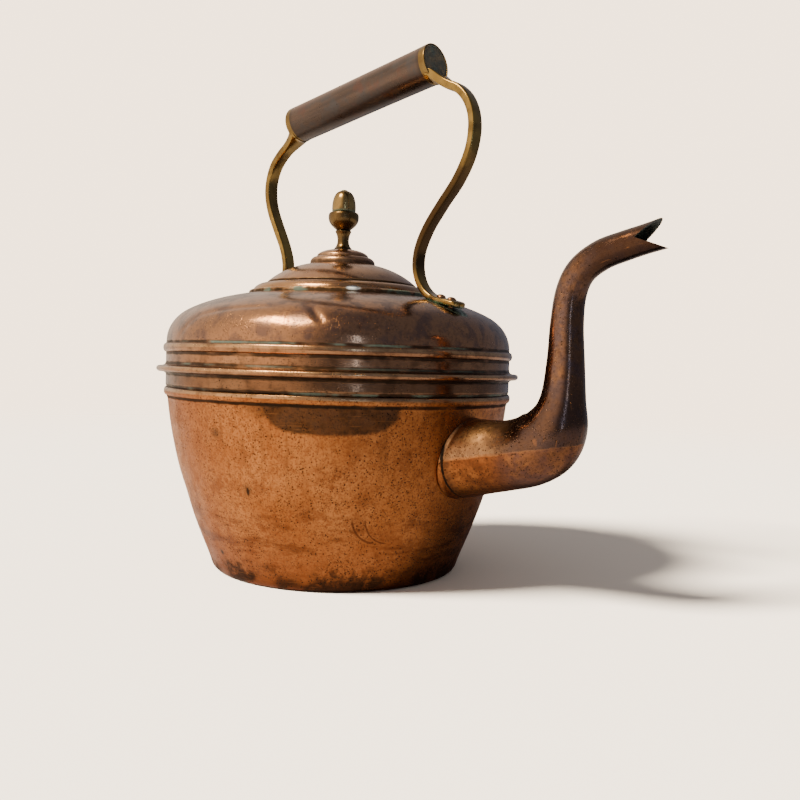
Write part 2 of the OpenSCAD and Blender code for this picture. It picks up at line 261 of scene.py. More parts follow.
base_outer = np.vstack([dense([[0, 0], [71, 0], [77, 0]], 4)[:-1],
                        bezier([77, 0], [81, 0], [81.4, 3.4], BASE_SEAM, 10)])
wall_outer = bezier(BASE_SEAM, [97.2, 41], [107.6, 75], [110.8, 108.2], 80)
lower_bead = bead(111.6, LOWER_BEAD_Z, 1.6, 2.7)
shoulder_outer = np.vstack([
    bezier([112, 144.2], [112, 152.5], [107.5, 160.4], [98, 165.4], 40),
    bezier([98, 165.4], [89, 170.1], [78, 173.5], SHOULDER_FOOT, 28)[1:],
    dense([SHOULDER_FOOT, SHOULDER_TOP], 2)[1:],
])


def body_radius(z):
    """Outer radius of the wall below the shoulder, at height z."""
    line = np.vstack([wall_outer, [[111.6, LOWER_BEAD_Z - 2.7]], [[111.6, LOWER_BEAD_Z + 2.7]],
                      [[BAND_R, 117.2]], [[BAND_R, 144.2]]])
    return np.interp(z, line[:, 1], line[:, 0])


def build_body(copper, tin):
    inner = shifted(np.vstack([base_outer, wall_outer[1:]]), WALL)
    n = len(base_outer)
    outline = np.vstack([base_outer, inner[:n][::-1]])
    outline[:, 0] = np.maximum(outline[:, 0], 0)
    turned("base", outline, [copper, tin], "kettle", ["base_plate"],
           kinds_of(outline, n), sides=288, move=uneven)

    band = dense([[BAND_R, LOWER_BEAD_Z + 4], [BAND_R, WAIST_Z]], 1.4)
    band_in = dense([[BAND_R - WALL, WAIST_Z], [BAND_R - WALL, LOWER_BEAD_Z + 4]], 2)
    outer = np.vstack([wall_outer, lower_bead, band])
    outline = np.vstack([outer, band_in, inner[n:][::-1][1:], inner[n - 1:n]])
    passage = bar_along_x(86, 130, SPOUT_HOLE_Z, SPOUT_HOLE_R)
    turned("tapered_wall", outline, [copper, tin], "kettle", ["body_lower"],
           kinds_of(outline, len(outer)), sides=360, move=uneven, hole=passage)

    half = 1.8
    fold = np.vstack([
        [[BAND_R + 0.02, WAIST_Z - WALL], [BAND_R + 0.02, WAIST_Z - 4.0], [BAND_R + 0.8, WAIST_Z - 3.1]],
        [[WAIST_R - half - 1.2, WAIST_Z - WALL / 2 - half + 0.15]],
        bead(WAIST_R - half, WAIST_Z - WALL / 2, half, half, 16),
        [[WAIST_R - half - 1.2, WAIST_Z - WALL / 2 + half - 0.1], [BAND_R + 0.8, WAIST_Z + 1.9]],
        dense([[BAND_R, WAIST_Z + 3.4], [BAND_R, UPPER_BEAD_Z - 2.7]], 1.2)[:-1],
        bead(BAND_R, UPPER_BEAD_Z, 1.7, 2.7),
        dense([[BAND_R, UPPER_BEAD_Z + 2.8], [112, 144.2]], 1)[:-1],
    ])
    outer = np.vstack([fold, shoulder_outer])
    under = shifted(shoulder_outer, WALL)[::-1]
    outline = np.vstack([outer, under, [[BAND_R - WALL, WAIST_Z], [BAND_R + 0.02, WAIST_Z]]])
    turned("shoulder", outline, [copper, tin], "kettle", ["body_upper"],
           kinds_of(outline, len(outer)), sides=400, move=uneven)


def build_collar(copper, tin):
    top = 183.9
    neck_in = 47.7
    groove = np.array([58.6, 178.14])
    outer = np.vstack([
        [[61.2, 176.45], [60.9, 177.6]],
        bezier([60.9, 177.9], [60.6, 179.2], [59.4, 179.4], groove + [0.35, 0.25], 7),
        bezier(groove, [57.8, 182.1], [54, 183.7], [50.2, top], 22),
        bezier([49.8, top], [48.4, 183.9], [47.8, 183.6], [neck_in, 183], 5),
    ])
    outline = np.vstack([outer, dense([[neck_in, 182], [neck_in, 170]], 2),
                         [[neck_in + WALL, 170], [NECK_R - 2, 171.7], [NECK_R, 177.7]]])
    turned("collar", outline, [copper, tin], "kettle", ["lid_collar"],
           kinds_of(outline, len(outer)), sides=256, move=lambda p: ripple(p, 0.10))


def ripple(points, size):
    """Slight waviness of a hand-finished ring, inwards only."""
    angle = np.arctan2(points[..., 1], points[..., 0])
    wave = 0.5 * np.sin(4 * angle + 0.7) + 0.3 * np.sin(7 * angle - 1.3) + 0.2 * np.sin(13 * angle)
    radius = np.maximum(np.hypot(points[..., 0], points[..., 1]), 1)
    share = 1 - size * (1 + wave) / radius * np.clip(radius / 20, 0, 1)
    return np.stack([points[..., 0] * share, points[..., 1] * share, points[..., 2]], axis=-1)


# ---- spout ----

SPOUT_LINE = [
    [92, 79], [104, 79.6], [118, 81.6], [135, 84], [150, 88.2], [160.4, 95],
    [166.6, 105], [169.2, 118], [169.9, 138], [169.8, 158], [171.6, 174.5], [177.2, 186],
    [188.4, 193.6], [201.6, 197.6], [214, 200.6], [228, 203.8],
]
SPOUT_RADIUS = [23.8, 23.4, 21.8, 20, 19.8, 19.4, 16.6, 12.3, 10.2, 9, 8.4, 8.2, 8.1, 7.8, 7.6, 8]
# The beak: the bottom of its V, the edges of its two jaws from there, and the end of the longer jaw
NOTCH = (209.6, 200.6)
UPPER_JAW = (10.9, 9.4)
LOWER_JAW = (15.1, -5.7)
BEAK_TIP_X = 224.4


def build_spout(copper, inside):
    """Tube whose rings are trimmed to the body wall at one end and to the V of the beak at the other."""
    line = through(SPOUT_LINE, 40)
    radii = through(SPOUT_RADIUS, 40)[:, 0]
    v = tangents(line)
    place = np.arange(len(line), dtype=float)
    sides, rings, trials = 112, 230, 2600
    angles = np.linspace(0, 2 * np.pi, sides, endpoint=False)

    def tube_point(s, a, thin):
        x, z, r = (np.interp(s, place, q) for q in (line[:, 0], line[:, 1], radii))
        vx, vz = np.interp(s, place, v[:, 0]), np.interp(s, place, v[:, 1])
        r = r - thin
        return np.stack([x - r * np.cos(a) * vz, r * np.sin(a), z + r * np.cos(a) * vx], axis=-1)

    def surface(thin):
        rows = []
        for a in angles:
            s = np.linspace(0, len(line) - 1, trials)
            p = tube_point(s, a, thin)
            outside = np.hypot(p[:, 0], p[:, 1]) > body_radius(p[:, 2]) - 0.05
            ahead = p[:, [0, 2]] - NOTCH
            past_upper = UPPER_JAW[0] * ahead[:, 1] < UPPER_JAW[1] * ahead[:, 0]
            past_lower = LOWER_JAW[0] * ahead[:, 1] > LOWER_JAW[1] * ahead[:, 0]
            cut = past_upper & past_lower & (ahead[:, 0] > -0.5)
            start = s[np.argmax(outside)]
            end = s[np.argmax(cut) if cut.any() else -1]
            t = np.linspace(0, 1, rings)
            rows.append(tube_point(start + (end - start) * t, a, thin))
        return np.array(rows).transpose(1, 0, 2)

    outer, inner = surface(0), surface(WALL)
    # A narrow turned lip where the spout is soldered to the wall
    travelled = np.linalg.norm(outer - outer[0], axis=-1)
    lip = 0.75 * np.exp(-(((travelled - 0.9) / 0.8) ** 2))
    centre = outer.mean(axis=1, keepdims=True)
    out = outer - centre
    out = out / np.linalg.norm(out, axis=-1, keepdims=True)
    outer = outer + lip[..., None] * out
    # Slight flats and hollows left by bending
    bend = 0.10 * np.sin(np.arange(rings) / 9.0)[:, None] * np.sin(2 * angles + 0.8)[None, :]
    bend = bend * np.clip((205 - outer[..., 0]) / 20, 0, 1)
    outer = outer + (bend * np.clip(travelled / 8, 0, 1))[..., None] * out

    rings_all = np.concatenate([outer, inner[::-1]])
    rings_all[..., 0] = np.minimum(rings_all[..., 0], BEAK_TIP_X)
    faces, i, _ = grid_faces(len(rings_all), sides, True, True)
    kinds = np.where(i < rings - 1, 0, 1)
    add_piece("swan_neck_spout", rings_all.reshape(-1, 3), faces, kinds, [copper, inside], "kettle",
              ["spout"], sharp=50)


# ---- handle ----

GRIP_MID = np.array([13.8, 306.1])
GRIP_TILT = math.radians(8.5)
GRIP_DIR = np.array([math.cos(GRIP_TILT), math.sin(GRIP_TILT)])
GRIP_UP = np.array([-math.sin(GRIP_TILT), math.cos(GRIP_TILT)])
GRIP_LEN = 123.0
GRIP_R = 11.9
CAP_BAND = 4.5
FRONT_FOOT = (87, 170.4)
REAR_FOOT = (-80.5, 172)
FOOT_TILT = math.radians(13.5)
FOOT_HALF = 13.2
FOOT_W = 13.0
FOOT_T = 3.6
ARM_W = 9.2
ARM_GRIP_T = 5.2
ARM_FOOT_T = 3.9
RIVET_PITCH = 8.0


def on_grip_line(u, drop):
    return GRIP_MID + u * GRIP_DIR - drop * GRIP_UP


FRONT_ARM = [
    on_grip_line(GRIP_LEN / 2 - 3.4, 11), on_grip_line(GRIP_LEN / 2 + 0.5, 11),
    [84.2, 300.6], [93.2, 296.2], [99.8, 289.4], [103.9, 280], [104.6, 269], [101.6, 256.5],
    [94, 243], [82.8, 229.8], [73, 217.2], [67, 205.4], [65.4, 195.4], [67, 187],
    [70.8, 180.2], [76.4, 175.4], [84, 172.6],
]
REAR_ARM = [
    on_grip_line(3.4 - GRIP_LEN / 2, 9.2), on_grip_line(-GRIP_LEN / 2 - 0.5, 9.2),
    [-56, 282.3], [-63, 277.2], [-69.2, 270.2], [-73, 260], [-73.1, 249.6], [-70.1, 239],
    [-63.8, 226.4], [-57, 213.2], [-53.6, 202], [-54.4, 192.6], [-59, 185.6], [-66, 180.2],
    [-75, 175],
]


def foot_frame(foot, side):
    """Middle of a foot's thickness, its outward direction and its upward normal, in X and Z."""
    along = np.array([side * math.cos(FOOT_TILT), -math.sin(FOOT_TILT)])
    up = np.array([side * math.sin(FOOT_TILT), math.cos(FOOT_TILT)])
    return np.array(foot, float) + up * FOOT_T / 2, along, up


def rounded_box(half_a, half_b, corner):
    """Outline of a bar's section: rounded corners, and slightly crowned broad faces."""
    corner = min(corner, half_a * 0.95, half_b * 0.95)
    rows = []
    for k, (sa, sb) in enumerate([(1, 1), (-1, 1), (-1, -1), (1, -1)]):
        t = np.radians(90 * k) + np.linspace(0, np.pi / 2, 7)
        rows.append(np.column_stack([sa * (half_a - corner) + corner * np.cos(t),
                                     sb * (half_b - corner) + corner * np.sin(t)]))
    ring = np.vstack([rows[0], rows[1], broad_face(rows[1][-1], rows[2][0]), rows[2], rows[3],
                      broad_face(rows[3][-1], rows[0][0])])
    crown = 0.2 * (1 - (ring[:, 1] / max(half_b, 0.1)) ** 2)
    ring[:, 0] += np.sign(ring[:, 0]) * crown
    return ring


def broad_face(a, b, points=9):
    t = np.linspace(0, 1, points + 2)[1:-1, None]
    return a + (b - a) * t


def build_arm(name, line, foot, side, nodes, brass):
    """Drawn brass bar that spreads into its cap at one end, and into a round-ended foot at the other."""
    mid, along, _ = foot_frame(foot, side)
    ends = [mid + along * x for x in (2, 6, 10, FOOT_HALF - 0.9, FOOT_HALF - 0.2, FOOT_HALF)]
    path = through(list(line) + ends, 14)
    v = tangents(path)
    length = np.concatenate([[0], np.cumsum(np.linalg.norm(np.diff(path, axis=0), axis=1))])
    on_foot = (path - mid) @ along
    near_foot = length > length[-1] - 40
    reach = np.where(near_foot, on_foot, -100.0)
    spread = np.clip((reach + 10) / 7, 0, 1)
    spread = spread * spread * (3 - 2 * spread)
    flare = np.clip(1 - length / 17, 0, 1) ** 1.6
    half_b = ARM_W / 2 + (FOOT_W - ARM_W) / 2 * spread + 5.1 * flare
    round_from = FOOT_HALF - FOOT_W / 2
    tip = np.clip((reach - round_from) / (FOOT_W / 2), 0, 0.9999)
    half_b = half_b * np.sqrt(1 - tip**2)
    share = np.clip(length / (length[-1] - 24), 0, 1)
    half_a = (ARM_GRIP_T + (ARM_FOOT_T - ARM_GRIP_T) * share) / 2
    half_a = (half_a * (1 - spread) + FOOT_T / 2 * spread) * (1 - 0.25 * tip**4)
    # The flared end is bent round the cap, with its underside just outside the cap's band
    drop = -(path[0] - GRIP_MID) @ GRIP_UP
    tuck = drop + half_a[0] - GRIP_R - 0.3
    rings = []
    for p, t, a, b, f in zip(path, v, half_a, half_b, flare):
        ring = rounded_box(a, b, 1.5)
        normal = np.array([-t[1], t[0]])
        across = np.minimum(np.abs(ring[:, 1]), GRIP_R - 0.6)
        lift = f * (GRIP_R - np.sqrt(GRIP_R**2 - across**2) + tuck)
        flat = p + ring[:, :1] * normal + lift[:, None] * GRIP_UP
        rings.append(np.column_stack([flat[:, 0], ring[:, 1], flat[:, 1]]))
    rings = np.array(rings)
    # Hand-drawn bar: its width wanders by a few hundredths of a millimetre
    wander = 0.08 * np.sin(length / 9.0 + 0.5) + 0.05 * np.sin(length / 4.1)
    rings[:, :, 1] *= (1 - np.abs(wander) / 4)[:, None]
    n, cols = rings.shape[:2]
    faces, _, _ = grid_faces(n, cols, False, True)
    faces = [list(f) for f in faces] + [list(range(cols))[::-1], [(n - 1) * cols + k for k in range(cols)]]
    add_piece(name, rings.reshape(-1, 3), faces, np.zeros(len(faces), int), [brass], "kettle",
              nodes, sharp=40)


def in_grip(points):
    """From the grip's own frame, Z along it towards the spout, to the row frame."""
    x, y, z = points[..., 0], points[..., 1], points[..., 2]
    flat = -x[..., None] * GRIP_UP + z[..., None] * GRIP_DIR + GRIP_MID
    return np.stack([flat[..., 0], y, flat[..., 1]], axis=-1)


def build_grip(copper, brass, black):
    half = GRIP_LEN / 2 - CAP_BAND

    def dented(points):
        z = points[..., 2]
        angle = np.arctan2(points[..., 1], points[..., 0])
        sink = 0.10 * (1 + np.sin(2 * angle + z / 30)) / 2 + 0.06 * (1 + np.sin(5 * angle - z / 17)) / 2
        sink = sink * np.clip((half - np.abs(z)) / 6, 0, 1)
        share = 1 - sink / GRIP_R
        return in_grip(np.stack([points[..., 0] * share, points[..., 1] * share, z], axis=-1))

    outer = dense([[GRIP_R, -half], [GRIP_R, half]], 2.2)
    inner = dense([[GRIP_R - 1, half], [GRIP_R - 1, -half]], 12)
    turned("grip_sleeve", np.vstack([outer, inner]), [copper], "kettle", ["grip_tube"],
           sides=128, move=dented)
    for name, node, side in (("grip_end_front", "grip_cap_front", 1), ("grip_end_rear", "grip_cap_rear", -1)):
        face = GRIP_LEN / 2
        band = np.vstack([
            [[GRIP_R, face - CAP_BAND]],
            dense([[GRIP_R, face - CAP_BAND + 0.1], [GRIP_R, face - 1.0]], 1),
            bezier([GRIP_R, face - 0.8], [GRIP_R, face - 0.1],
                   [GRIP_R - 0.4, face], [GRIP_R - 0.9, face - 0.05], 5),
        ])
        disc = np.vstack([[[GRIP_R - 1.05, face - 0.45]],
                          dense([[GRIP_R - 1.3, face - 0.55], [0, face - 0.5]], 1.5)])
        back = np.array([[0, face - 2.1], [GRIP_R - 2.4, face - 2.1], [GRIP_R - 2.4, face - 8.5],
                         [GRIP_R - 1, face - 8.5], [GRIP_R - 1, face - CAP_BAND]])
        outline = np.vstack([band, disc, back])
        outline[:, 1] *= side
        turned(name, outline, [brass, black], "kettle", [node],
               kinds_of(outline, len(band), len(disc) - 1), sides=96, move=in_grip)


def build_rivets(name, foot, side, node, copper):
    """Two domed heads, hammered a little out of true, on shanks that go through the foot."""
    mid, along, up = foot_frame(foot, side)
    low = mid - up * FOOT_T / 2
    head_r, head_h, shank = 3.0, 1.7, 1.6
    t = np.linspace(0, np.pi / 2, 12)
    dome = np.column_stack([head_r * np.cos(t), FOOT_T + 0.25 + (head_h - 0.25) * np.sin(t)])
    outline = np.vstack([[[0, -4.2], [shank, -4.2], [shank, FOOT_T], [head_r - 0.1, FOOT_T]], dome])
    verts, faces, kinds, sides = [], [], [], 40
    a = np.linspace(0, 2 * np.pi, sides, endpoint=False)
    for k, x in enumerate((-RIVET_PITCH / 2, RIVET_PITCH / 2)):
        r = outline[:, 0][None, :] * (1 - 0.03 * (1 + np.sin(2 * a + k)))[:, None]
        h = np.tile(outline[:, 1], (sides, 1))
        h = h - np.where(h > FOOT_T + 0.3, 0.10 * (1 + np.sin(a * 3 + k * 2))[:, None] * r / head_r, 0)
        u, w = r * np.cos(a)[:, None] + x, r * np.sin(a)[:, None]
        flat = low + u[..., None] * along + h[..., None] * up
        points = np.stack([flat[..., 0], w, flat[..., 1]], axis=-1)
        quads, _, _ = grid_faces(sides, len(outline), True, True)
        faces.append(quads + sum(len(q) for q in verts))
        verts.append(points.reshape(-1, 3))
    faces = np.vstack(faces)
    add_piece(name, np.vstack(verts), faces, np.zeros(len(faces), int), [copper], "kettle",
              [node])


# ---- lid ----

LID_R = 49.2
LID_EDGE_Z = 184.3
LID_TOP_Z = 198.4
LID_WALL = 1.0
SKIRT_R = 47.2
SKIRT_H = 12
BOSS_H = 9.8
CUP_H = 24.4
FINIAL_H = 39.4
STUD_R = 2.0


def build_lid(copper, tin, brass):
    dome = bezier([LID_R - 0.5, LID_EDGE_Z + 1.2], [44, LID_EDGE_Z + 5.6], [34, LID_TOP_Z - 2.5],
                  [22, LID_TOP_Z - 0.5], 40)
    outer = np.vstack([
        [[LID_R - 0.6, LID_EDGE_Z]],
        bezier([LID_R - 0.2, LID_EDGE_Z + 0.1], [LID_R + 0.1, LID_EDGE_Z + 0.3],
               [LID_R, LID_EDGE_Z + 0.9], dome[0] + [0.1, -0.1], 5),
        dome, dense([[20, LID_TOP_Z - 0.2], [12, LID_TOP_Z], [STUD_R, LID_TOP_Z]], 2.5),
    ])
    under = shifted(np.vstack([dome, [[12, LID_TOP_Z], [STUD_R, LID_TOP_Z]]]), LID_WALL)[::-1]
    under[:, 0] = np.maximum(under[:, 0], STUD_R)
    outline = np.vstack([outer, under, [[SKIRT_R, LID_EDGE_Z]]])
    turned("lid_top", outline, [copper, tin], "lid", ["lid_dome"],
           kinds_of(outline, len(outer)), sides=256, move=lambda p: ripple(p, 0.12))
    outside = dense([[SKIRT_R, LID_EDGE_Z - SKIRT_H], [SKIRT_R, LID_EDGE_Z]], 2)
    inside = dense([[SKIRT_R - LID_WALL, LID_EDGE_Z + 0.4], [SKIRT_R - LID_WALL, LID_EDGE_Z - SKIRT_H]], 2)
    skirt = np.vstack([outside, inside])
    turned("lid_rim", skirt, [copper, tin], "lid", ["lid_skirt"],
           kinds_of(skirt, len(outside)), sides=192, move=lambda p: ripple(p, 0.10))
    step = np.vstack([
        bezier([21.4, -0.4], [21.9, 2.2], [20.3, 4.0], [18, 4.6], 14),
        [[17.5, 4.62], [17.2, 4.8]],
        bezier([17, 5.1], [17.2, 7.2], [12, 9.2], [6.5, BOSS_H], 20),
        [[STUD_R, BOSS_H]],
    ])
    boss = np.vstack([step, [[STUD_R, BOSS_H - 1.2]],
                      bezier([6.5, BOSS_H - 1.2], [12, 8], [19.4, 3], [20, 0.4], 10), [[20, -0.4]]])
    boss[:, 1] += LID_TOP_Z
    turned("lid_crown", boss, [copper], "lid", ["lid_boss"], sides=160,
           move=lambda p: ripple(p, 0.08))

    foot_z = LID_TOP_Z + BOSS_H
    cup = np.vstack([
        [[STUD_R, 0], [6, 0]],
        bezier([5.9, 0.8], [4.4, 2.2], [3.7, 4.2], [3.8, 6.6], 10),
        bezier([3.9, 7.4], [4.1, 9.2], [4.6, 10.4], [5, 11.2], 8),
        bezier([5.2, 11.5], [5.5, 11.9], [5.2, 12.5], [4.7, 12.8], 5),
        bezier([5.1, 13.4], [6.8, 14.8], [10.2, 17], [10.1, 21.4], 18),
        bezier([10.1, 22], [10, 23.6], [9.4, 24.4], [8.2, CUP_H], 7),
        [[7.6, CUP_H - 0.1], [STUD_R, CUP_H - 0.1]],
    ])
    cup[:, 1] += foot_z
    turned("finial_stem", cup, [brass], "lid", ["finial_cup"], sides=96,
           move=lambda p: ripple(p, 0.05))
    shoulder = CUP_H + 0.8
    acorn = np.vstack([
        [[0, CUP_H], [7.4, CUP_H], [7.8, shoulder]],
        bezier([7.9, shoulder + 1.6], [7.9, shoulder + 8], [6.2, FINIAL_H - 1.4],
               [2.3, FINIAL_H - 0.8], 20),
        bezier([2.1, FINIAL_H - 0.5], [1.9, FINIAL_H - 0.1], [1.2, FINIAL_H], [0, FINIAL_H], 5),
    ])
    acorn[:, 1] += foot_z
    turned("finial_nut_top", acorn, [brass], "lid", ["finial_acorn"], sides=96,
           move=lambda p: ripple(p, 0.05))


# ---- materials ----

class Nodes:
    """Short calls for the nodes of one tree. A value may be a constant or another node's socket."""

    def __init__(self, owner):
        owner.use_nodes = True
        self.tree = owner.node_tree
        self.tree.nodes.clear()

    def node(self, kind, **settings):
        n = self.tree.nodes.new(kind)
        for name, value in settings.items():
            setattr(n, name, value)
        return n

    def put(self, socket, value):
        if isinstance(value, bpy.types.NodeSocket):
            self.tree.links.new(value, socket)
        else:
            socket.default_value = value

    def math(self, operation, *values):
        n = self.node("ShaderNodeMath", operation=operation)
        for socket, value in zip(n.inputs, values):
            self.put(socket, value)
        return n.outputs[0]

    def vector(self, operation, a, b):
        n = self.node("ShaderNodeVectorMath", operation=operation)
        self.put(n.inputs[0], a)
        self.put(n.inputs[1], b)
        return n.outputs["Value" if operation == "DOT_PRODUCT" else "Vector"]

    def step(self, value, low, high, to_low=0.0, to_high=1.0):
        """Smooth rise from to_low to to_high as value goes from low to high."""
        n = self.node("ShaderNodeMapRange", interpolation_type="SMOOTHSTEP")
        for socket, v in zip(n.inputs, (value, low, high, to_low, to_high)):
            self.put(socket, v)
        return n.outputs[0]

    def mix(self, share, a, b):
        n = self.node("ShaderNodeMix", data_type="RGBA")
        self.put(n.inputs[0], share)
        for socket, v in ((n.inputs[6], a), (n.inputs[7], b)):
            self.put(socket, v if isinstance(v, bpy.types.NodeSocket) else (*v, 1.0))
        return n.outputs[2]


class Surface(Nodes):
    """One material's nodes, over the object's own coordinates in millimetres."""

    def __init__(self, name):
        self.material = bpy.data.materials.new(name)
        super().__init__(self.material)
        self.relief = None
        self.output = self.node("ShaderNodeOutputMaterial")
        self.shader = self.node("ShaderNodeBsdfPrincipled")
        self.put(self.output.inputs["Surface"], self.shader.outputs[0])
        place = self.node("ShaderNodeTexCoord").outputs["Object"]
        self.place = self.vector("MULTIPLY", place, (1 / MM,) * 3)
        self.x, self.y, self.z = self.split(self.place)
        self.angle = self.math("ARCTAN2", self.y, self.x)
        self.radius = self.length(self.x, self.y)

    def split(self, v):
        n = self.node("ShaderNodeSeparateXYZ")
        self.put(n.inputs[0], v)
        return n.outputs

    def join(self, x, y, z):
        n = self.node("ShaderNodeCombineXYZ")
        for socket, value in zip(n.inputs, (x, y, z)):
            self.put(socket, value)
        return n.outputs[0]

    def add(self, a, b):
        return self.math("ADD", a, b)

    def less(self, a, b):
        return self.math("SUBTRACT", a, b)

    def over(self, a, b):
        return self.math("DIVIDE", a, b)

    def length(self, u, v):
        return self.math("SQRT", self.add(self.times(u, u), self.times(v, v)))

    def ragged(self, value, noise, amount):
        """The value, shifted up and down by a noise whose whole range is amount."""
        return self.add(value, self.times(self.less(noise, 0.5), amount))

    def times(self, *values):
        result = values[0]
        for v in values[1:]:
            result = self.math("MULTIPLY", result, v)
        return result

    def most(self, *values):
        result = values[0]
        for v in values[1:]:
            result = self.math("MAXIMUM", result, v)
        return result

    def noise(self, size, detail=4.0, rough=0.55, at=None, warp=0.0):
        """Noise from 0 to 1 whose features are about size millimetres."""
        n = self.node("ShaderNodeTexNoise")
        self.put(n.inputs["Vector"], self.place if at is None else at)
        self.put(n.inputs["Scale"], 1 / size)
        self.put(n.inputs["Detail"], detail)
        self.put(n.inputs["Roughness"], rough)
        self.put(n.inputs["Distortion"], warp)
        return n.outputs["Fac"]

    def stretched(self, at, scale, detail=2.0, rough=0.5):
        """Noise drawn out along some of the axes of at, from each axis's scale per millimetre."""
        return self.noise(1.0, detail, rough, at=self.vector("MULTIPLY", at, scale))

    def coats(self, colour, *coats):
        """The colour under others. Each coat shows where its texture goes from low to high, up to a share."""
        for texture, low, high, share, coat in coats:
            colour = self.mix(self.times(self.step(texture, low, high), share), colour, coat)
        return colour

    def line(self, value, middle, half):
        """1 at value = middle, falling to 0 at half away from it."""
        off = self.math("ABSOLUTE", self.less(value, middle))
        return self.step(off, half * 0.35, half, 1.0, 0.0)

    def patch(self, angle, z, half_angle, half_z, soft=0.25, ragged=0.0, power=2.0):
        """Oval or squarish patch on a turned surface, centred on an angle in degrees and a height."""
        turn = self.math("WRAP", self.less(self.angle, math.radians(angle)), math.pi, -math.pi)
        u = self.over(turn, math.radians(half_angle))
        v = self.over(self.less(self.z, z), half_z)
        u, v = (self.math("POWER", self.math("ABSOLUTE", w), power) for w in (u, v))
        d = self.math("POWER", self.add(u, v), 1 / power)
        if ragged:
            d = self.ragged(d, self.noise(6, 6, 0.7), ragged)
        return self.step(d, 1 - soft, 1.0, 1.0, 0.0)

    def under_foot(self, x, z):
        """1 on the lower half of an arm's foot, whose underside has its middle at x and z."""
        fall = self.times(self.less(self.math("ABSOLUTE", self.x), abs(x)), math.tan(FOOT_TILT))
        height = self.less(self.add(self.z, fall), z)
        return self.times(self.step(height, FOOT_T * 0.55, FOOT_T * 0.2),
                          self.step(self.x, 0.0, math.copysign(9.0, x)))

    def oval(self, x, half_x, half_y):
        """1 inside a ragged oval on the X axis, seen from above."""
        u = self.over(self.less(self.x, x), half_x)
        v = self.over(self.y, half_y)
        d = self.ragged(self.length(u, v), self.noise(3, 5, 0.7), 0.35)
        return self.step(d, 1.08, 0.96)

    def pits(self, spacing, share, size):
        """Small round pits, of uneven size, in a share of cells that may itself be a texture."""
        n = self.node("ShaderNodeTexVoronoi")
        warped = self.vector("ADD", self.place, self.vector("MULTIPLY", self.noise_vector(spacing * 1.5),
                                                            (spacing * 0.5,) * 3))
        self.put(n.inputs["Vector"], warped)
        self.put(n.inputs["Scale"], 1 / spacing)
        pick = self.split(n.outputs["Color"])[0]
        room = self.less(share, pick)
        reach = self.times(self.step(room, 0.0, 0.3), size / spacing)
        gap = self.less(n.outputs["Distance"], reach)
        return self.step(gap, -0.12, 0.0, 1.0, 0.0)

    def noise_vector(self, size):
        n = self.node("ShaderNodeTexNoise")
        self.put(n.inputs["Vector"], self.place)
        self.put(n.inputs["Scale"], 1 / size)
        return n.outputs["Color"]

    def bump(self, height, depth):
        """Relief of up to depth millimetres where height goes from 0 to 1, over any relief so far."""
        n = self.node("ShaderNodeBump")
        self.put(n.inputs["Strength"], 1.0)
        self.put(n.inputs["Distance"], depth * MM)
        self.put(n.inputs["Height"], height)
        if self.relief is not None:
            self.put(n.inputs["Normal"], self.relief)
        self.relief = n.outputs[0]

    def finish(self, colour, roughness, metal=1.0):
        s = self.shader.inputs
        self.put(s["Base Color"], colour)
        self.put(s["Roughness"], roughness)
        self.put(s["Metallic"], metal)
        if self.relief is not None:
            self.put(s["Normal"], self.relief)
        return self.material


ORANGE = (0.44, 0.158, 0.045)
PALE_ORANGE = (0.56, 0.225, 0.072)
DEEP_ORANGE = (0.28, 0.090, 0.028)
RED_BROWN = (0.20, 0.050, 0.016)
PINK_BROWN = (0.40, 0.205, 0.108)
BROWN = (0.34, 0.160, 0.078)
DARK_BROWN = (0.085, 0.044, 0.024)
PURPLE_BROWN = (0.17, 0.105, 0.088)
SOOT = (0.022, 0.013, 0.009)
VERDIGRIS = (0.028, 0.052, 0.042)
PALE_VERDIGRIS = (0.085, 0.130, 0.100)
TEAL = (0.22, 0.34, 0.28)
WORN_AND_LIT_CREST = (0.62, 0.37, 0.18)


# Where the body's marks are. Creases, grimed and with painted shade: height and half-width. Crests, worn
# and with a painted highlight: height. Blots and their cores: angle in degrees, height, half-angle,
# half-height, softness, raggedness. Arcs: angle, height, radius, half-width and side.
CREASES = [(109.9, 1.5), (116.6, 1.4), (124.4, 1.9), (130.6, 1.6), (136.9, 1.5), (143.6, 1.3)]
CRESTS = [LOWER_BEAD_Z + 1.0, WAIST_Z + 0.3, UPPER_BEAD_Z + 1.0]
BLOTS = [(-75.1, 60.7, 2.4, 5.5, 0.9, 0.5), (-97.2, 17.3, 2.3, 3.2, 0.8, 0.5),
         (-85.0, 92.0, 3.0, 5.0, 0.9, 0.6), (60.0, 60.0, 4.0, 7.0, 0.9, 0.6),
         (150.0, 40.0, 3.0, 5.0, 0.9, 0.6)]
BLOT_CORES = [(-75.1, 59.6, 0.7, 3.4, 0.5, 0.5), (-97.2, 17.3, 1.1, 1.8, 0.5, 0.4)]
ARCS = [(-31.0, 46.5, 15.0, 0.42, -1), (-26.5, 46.0, 15.0, 0.28, -1), (52.0, 60.0, 21.0, 0.20, 1),
        (170.0, 52.0, 26.0, 0.20, -1)]

# Radii that turn an angle into a length along the wall: for the whole body, and near its base
MEAN_R = 108.0
LOW_WALL_R = 95.0


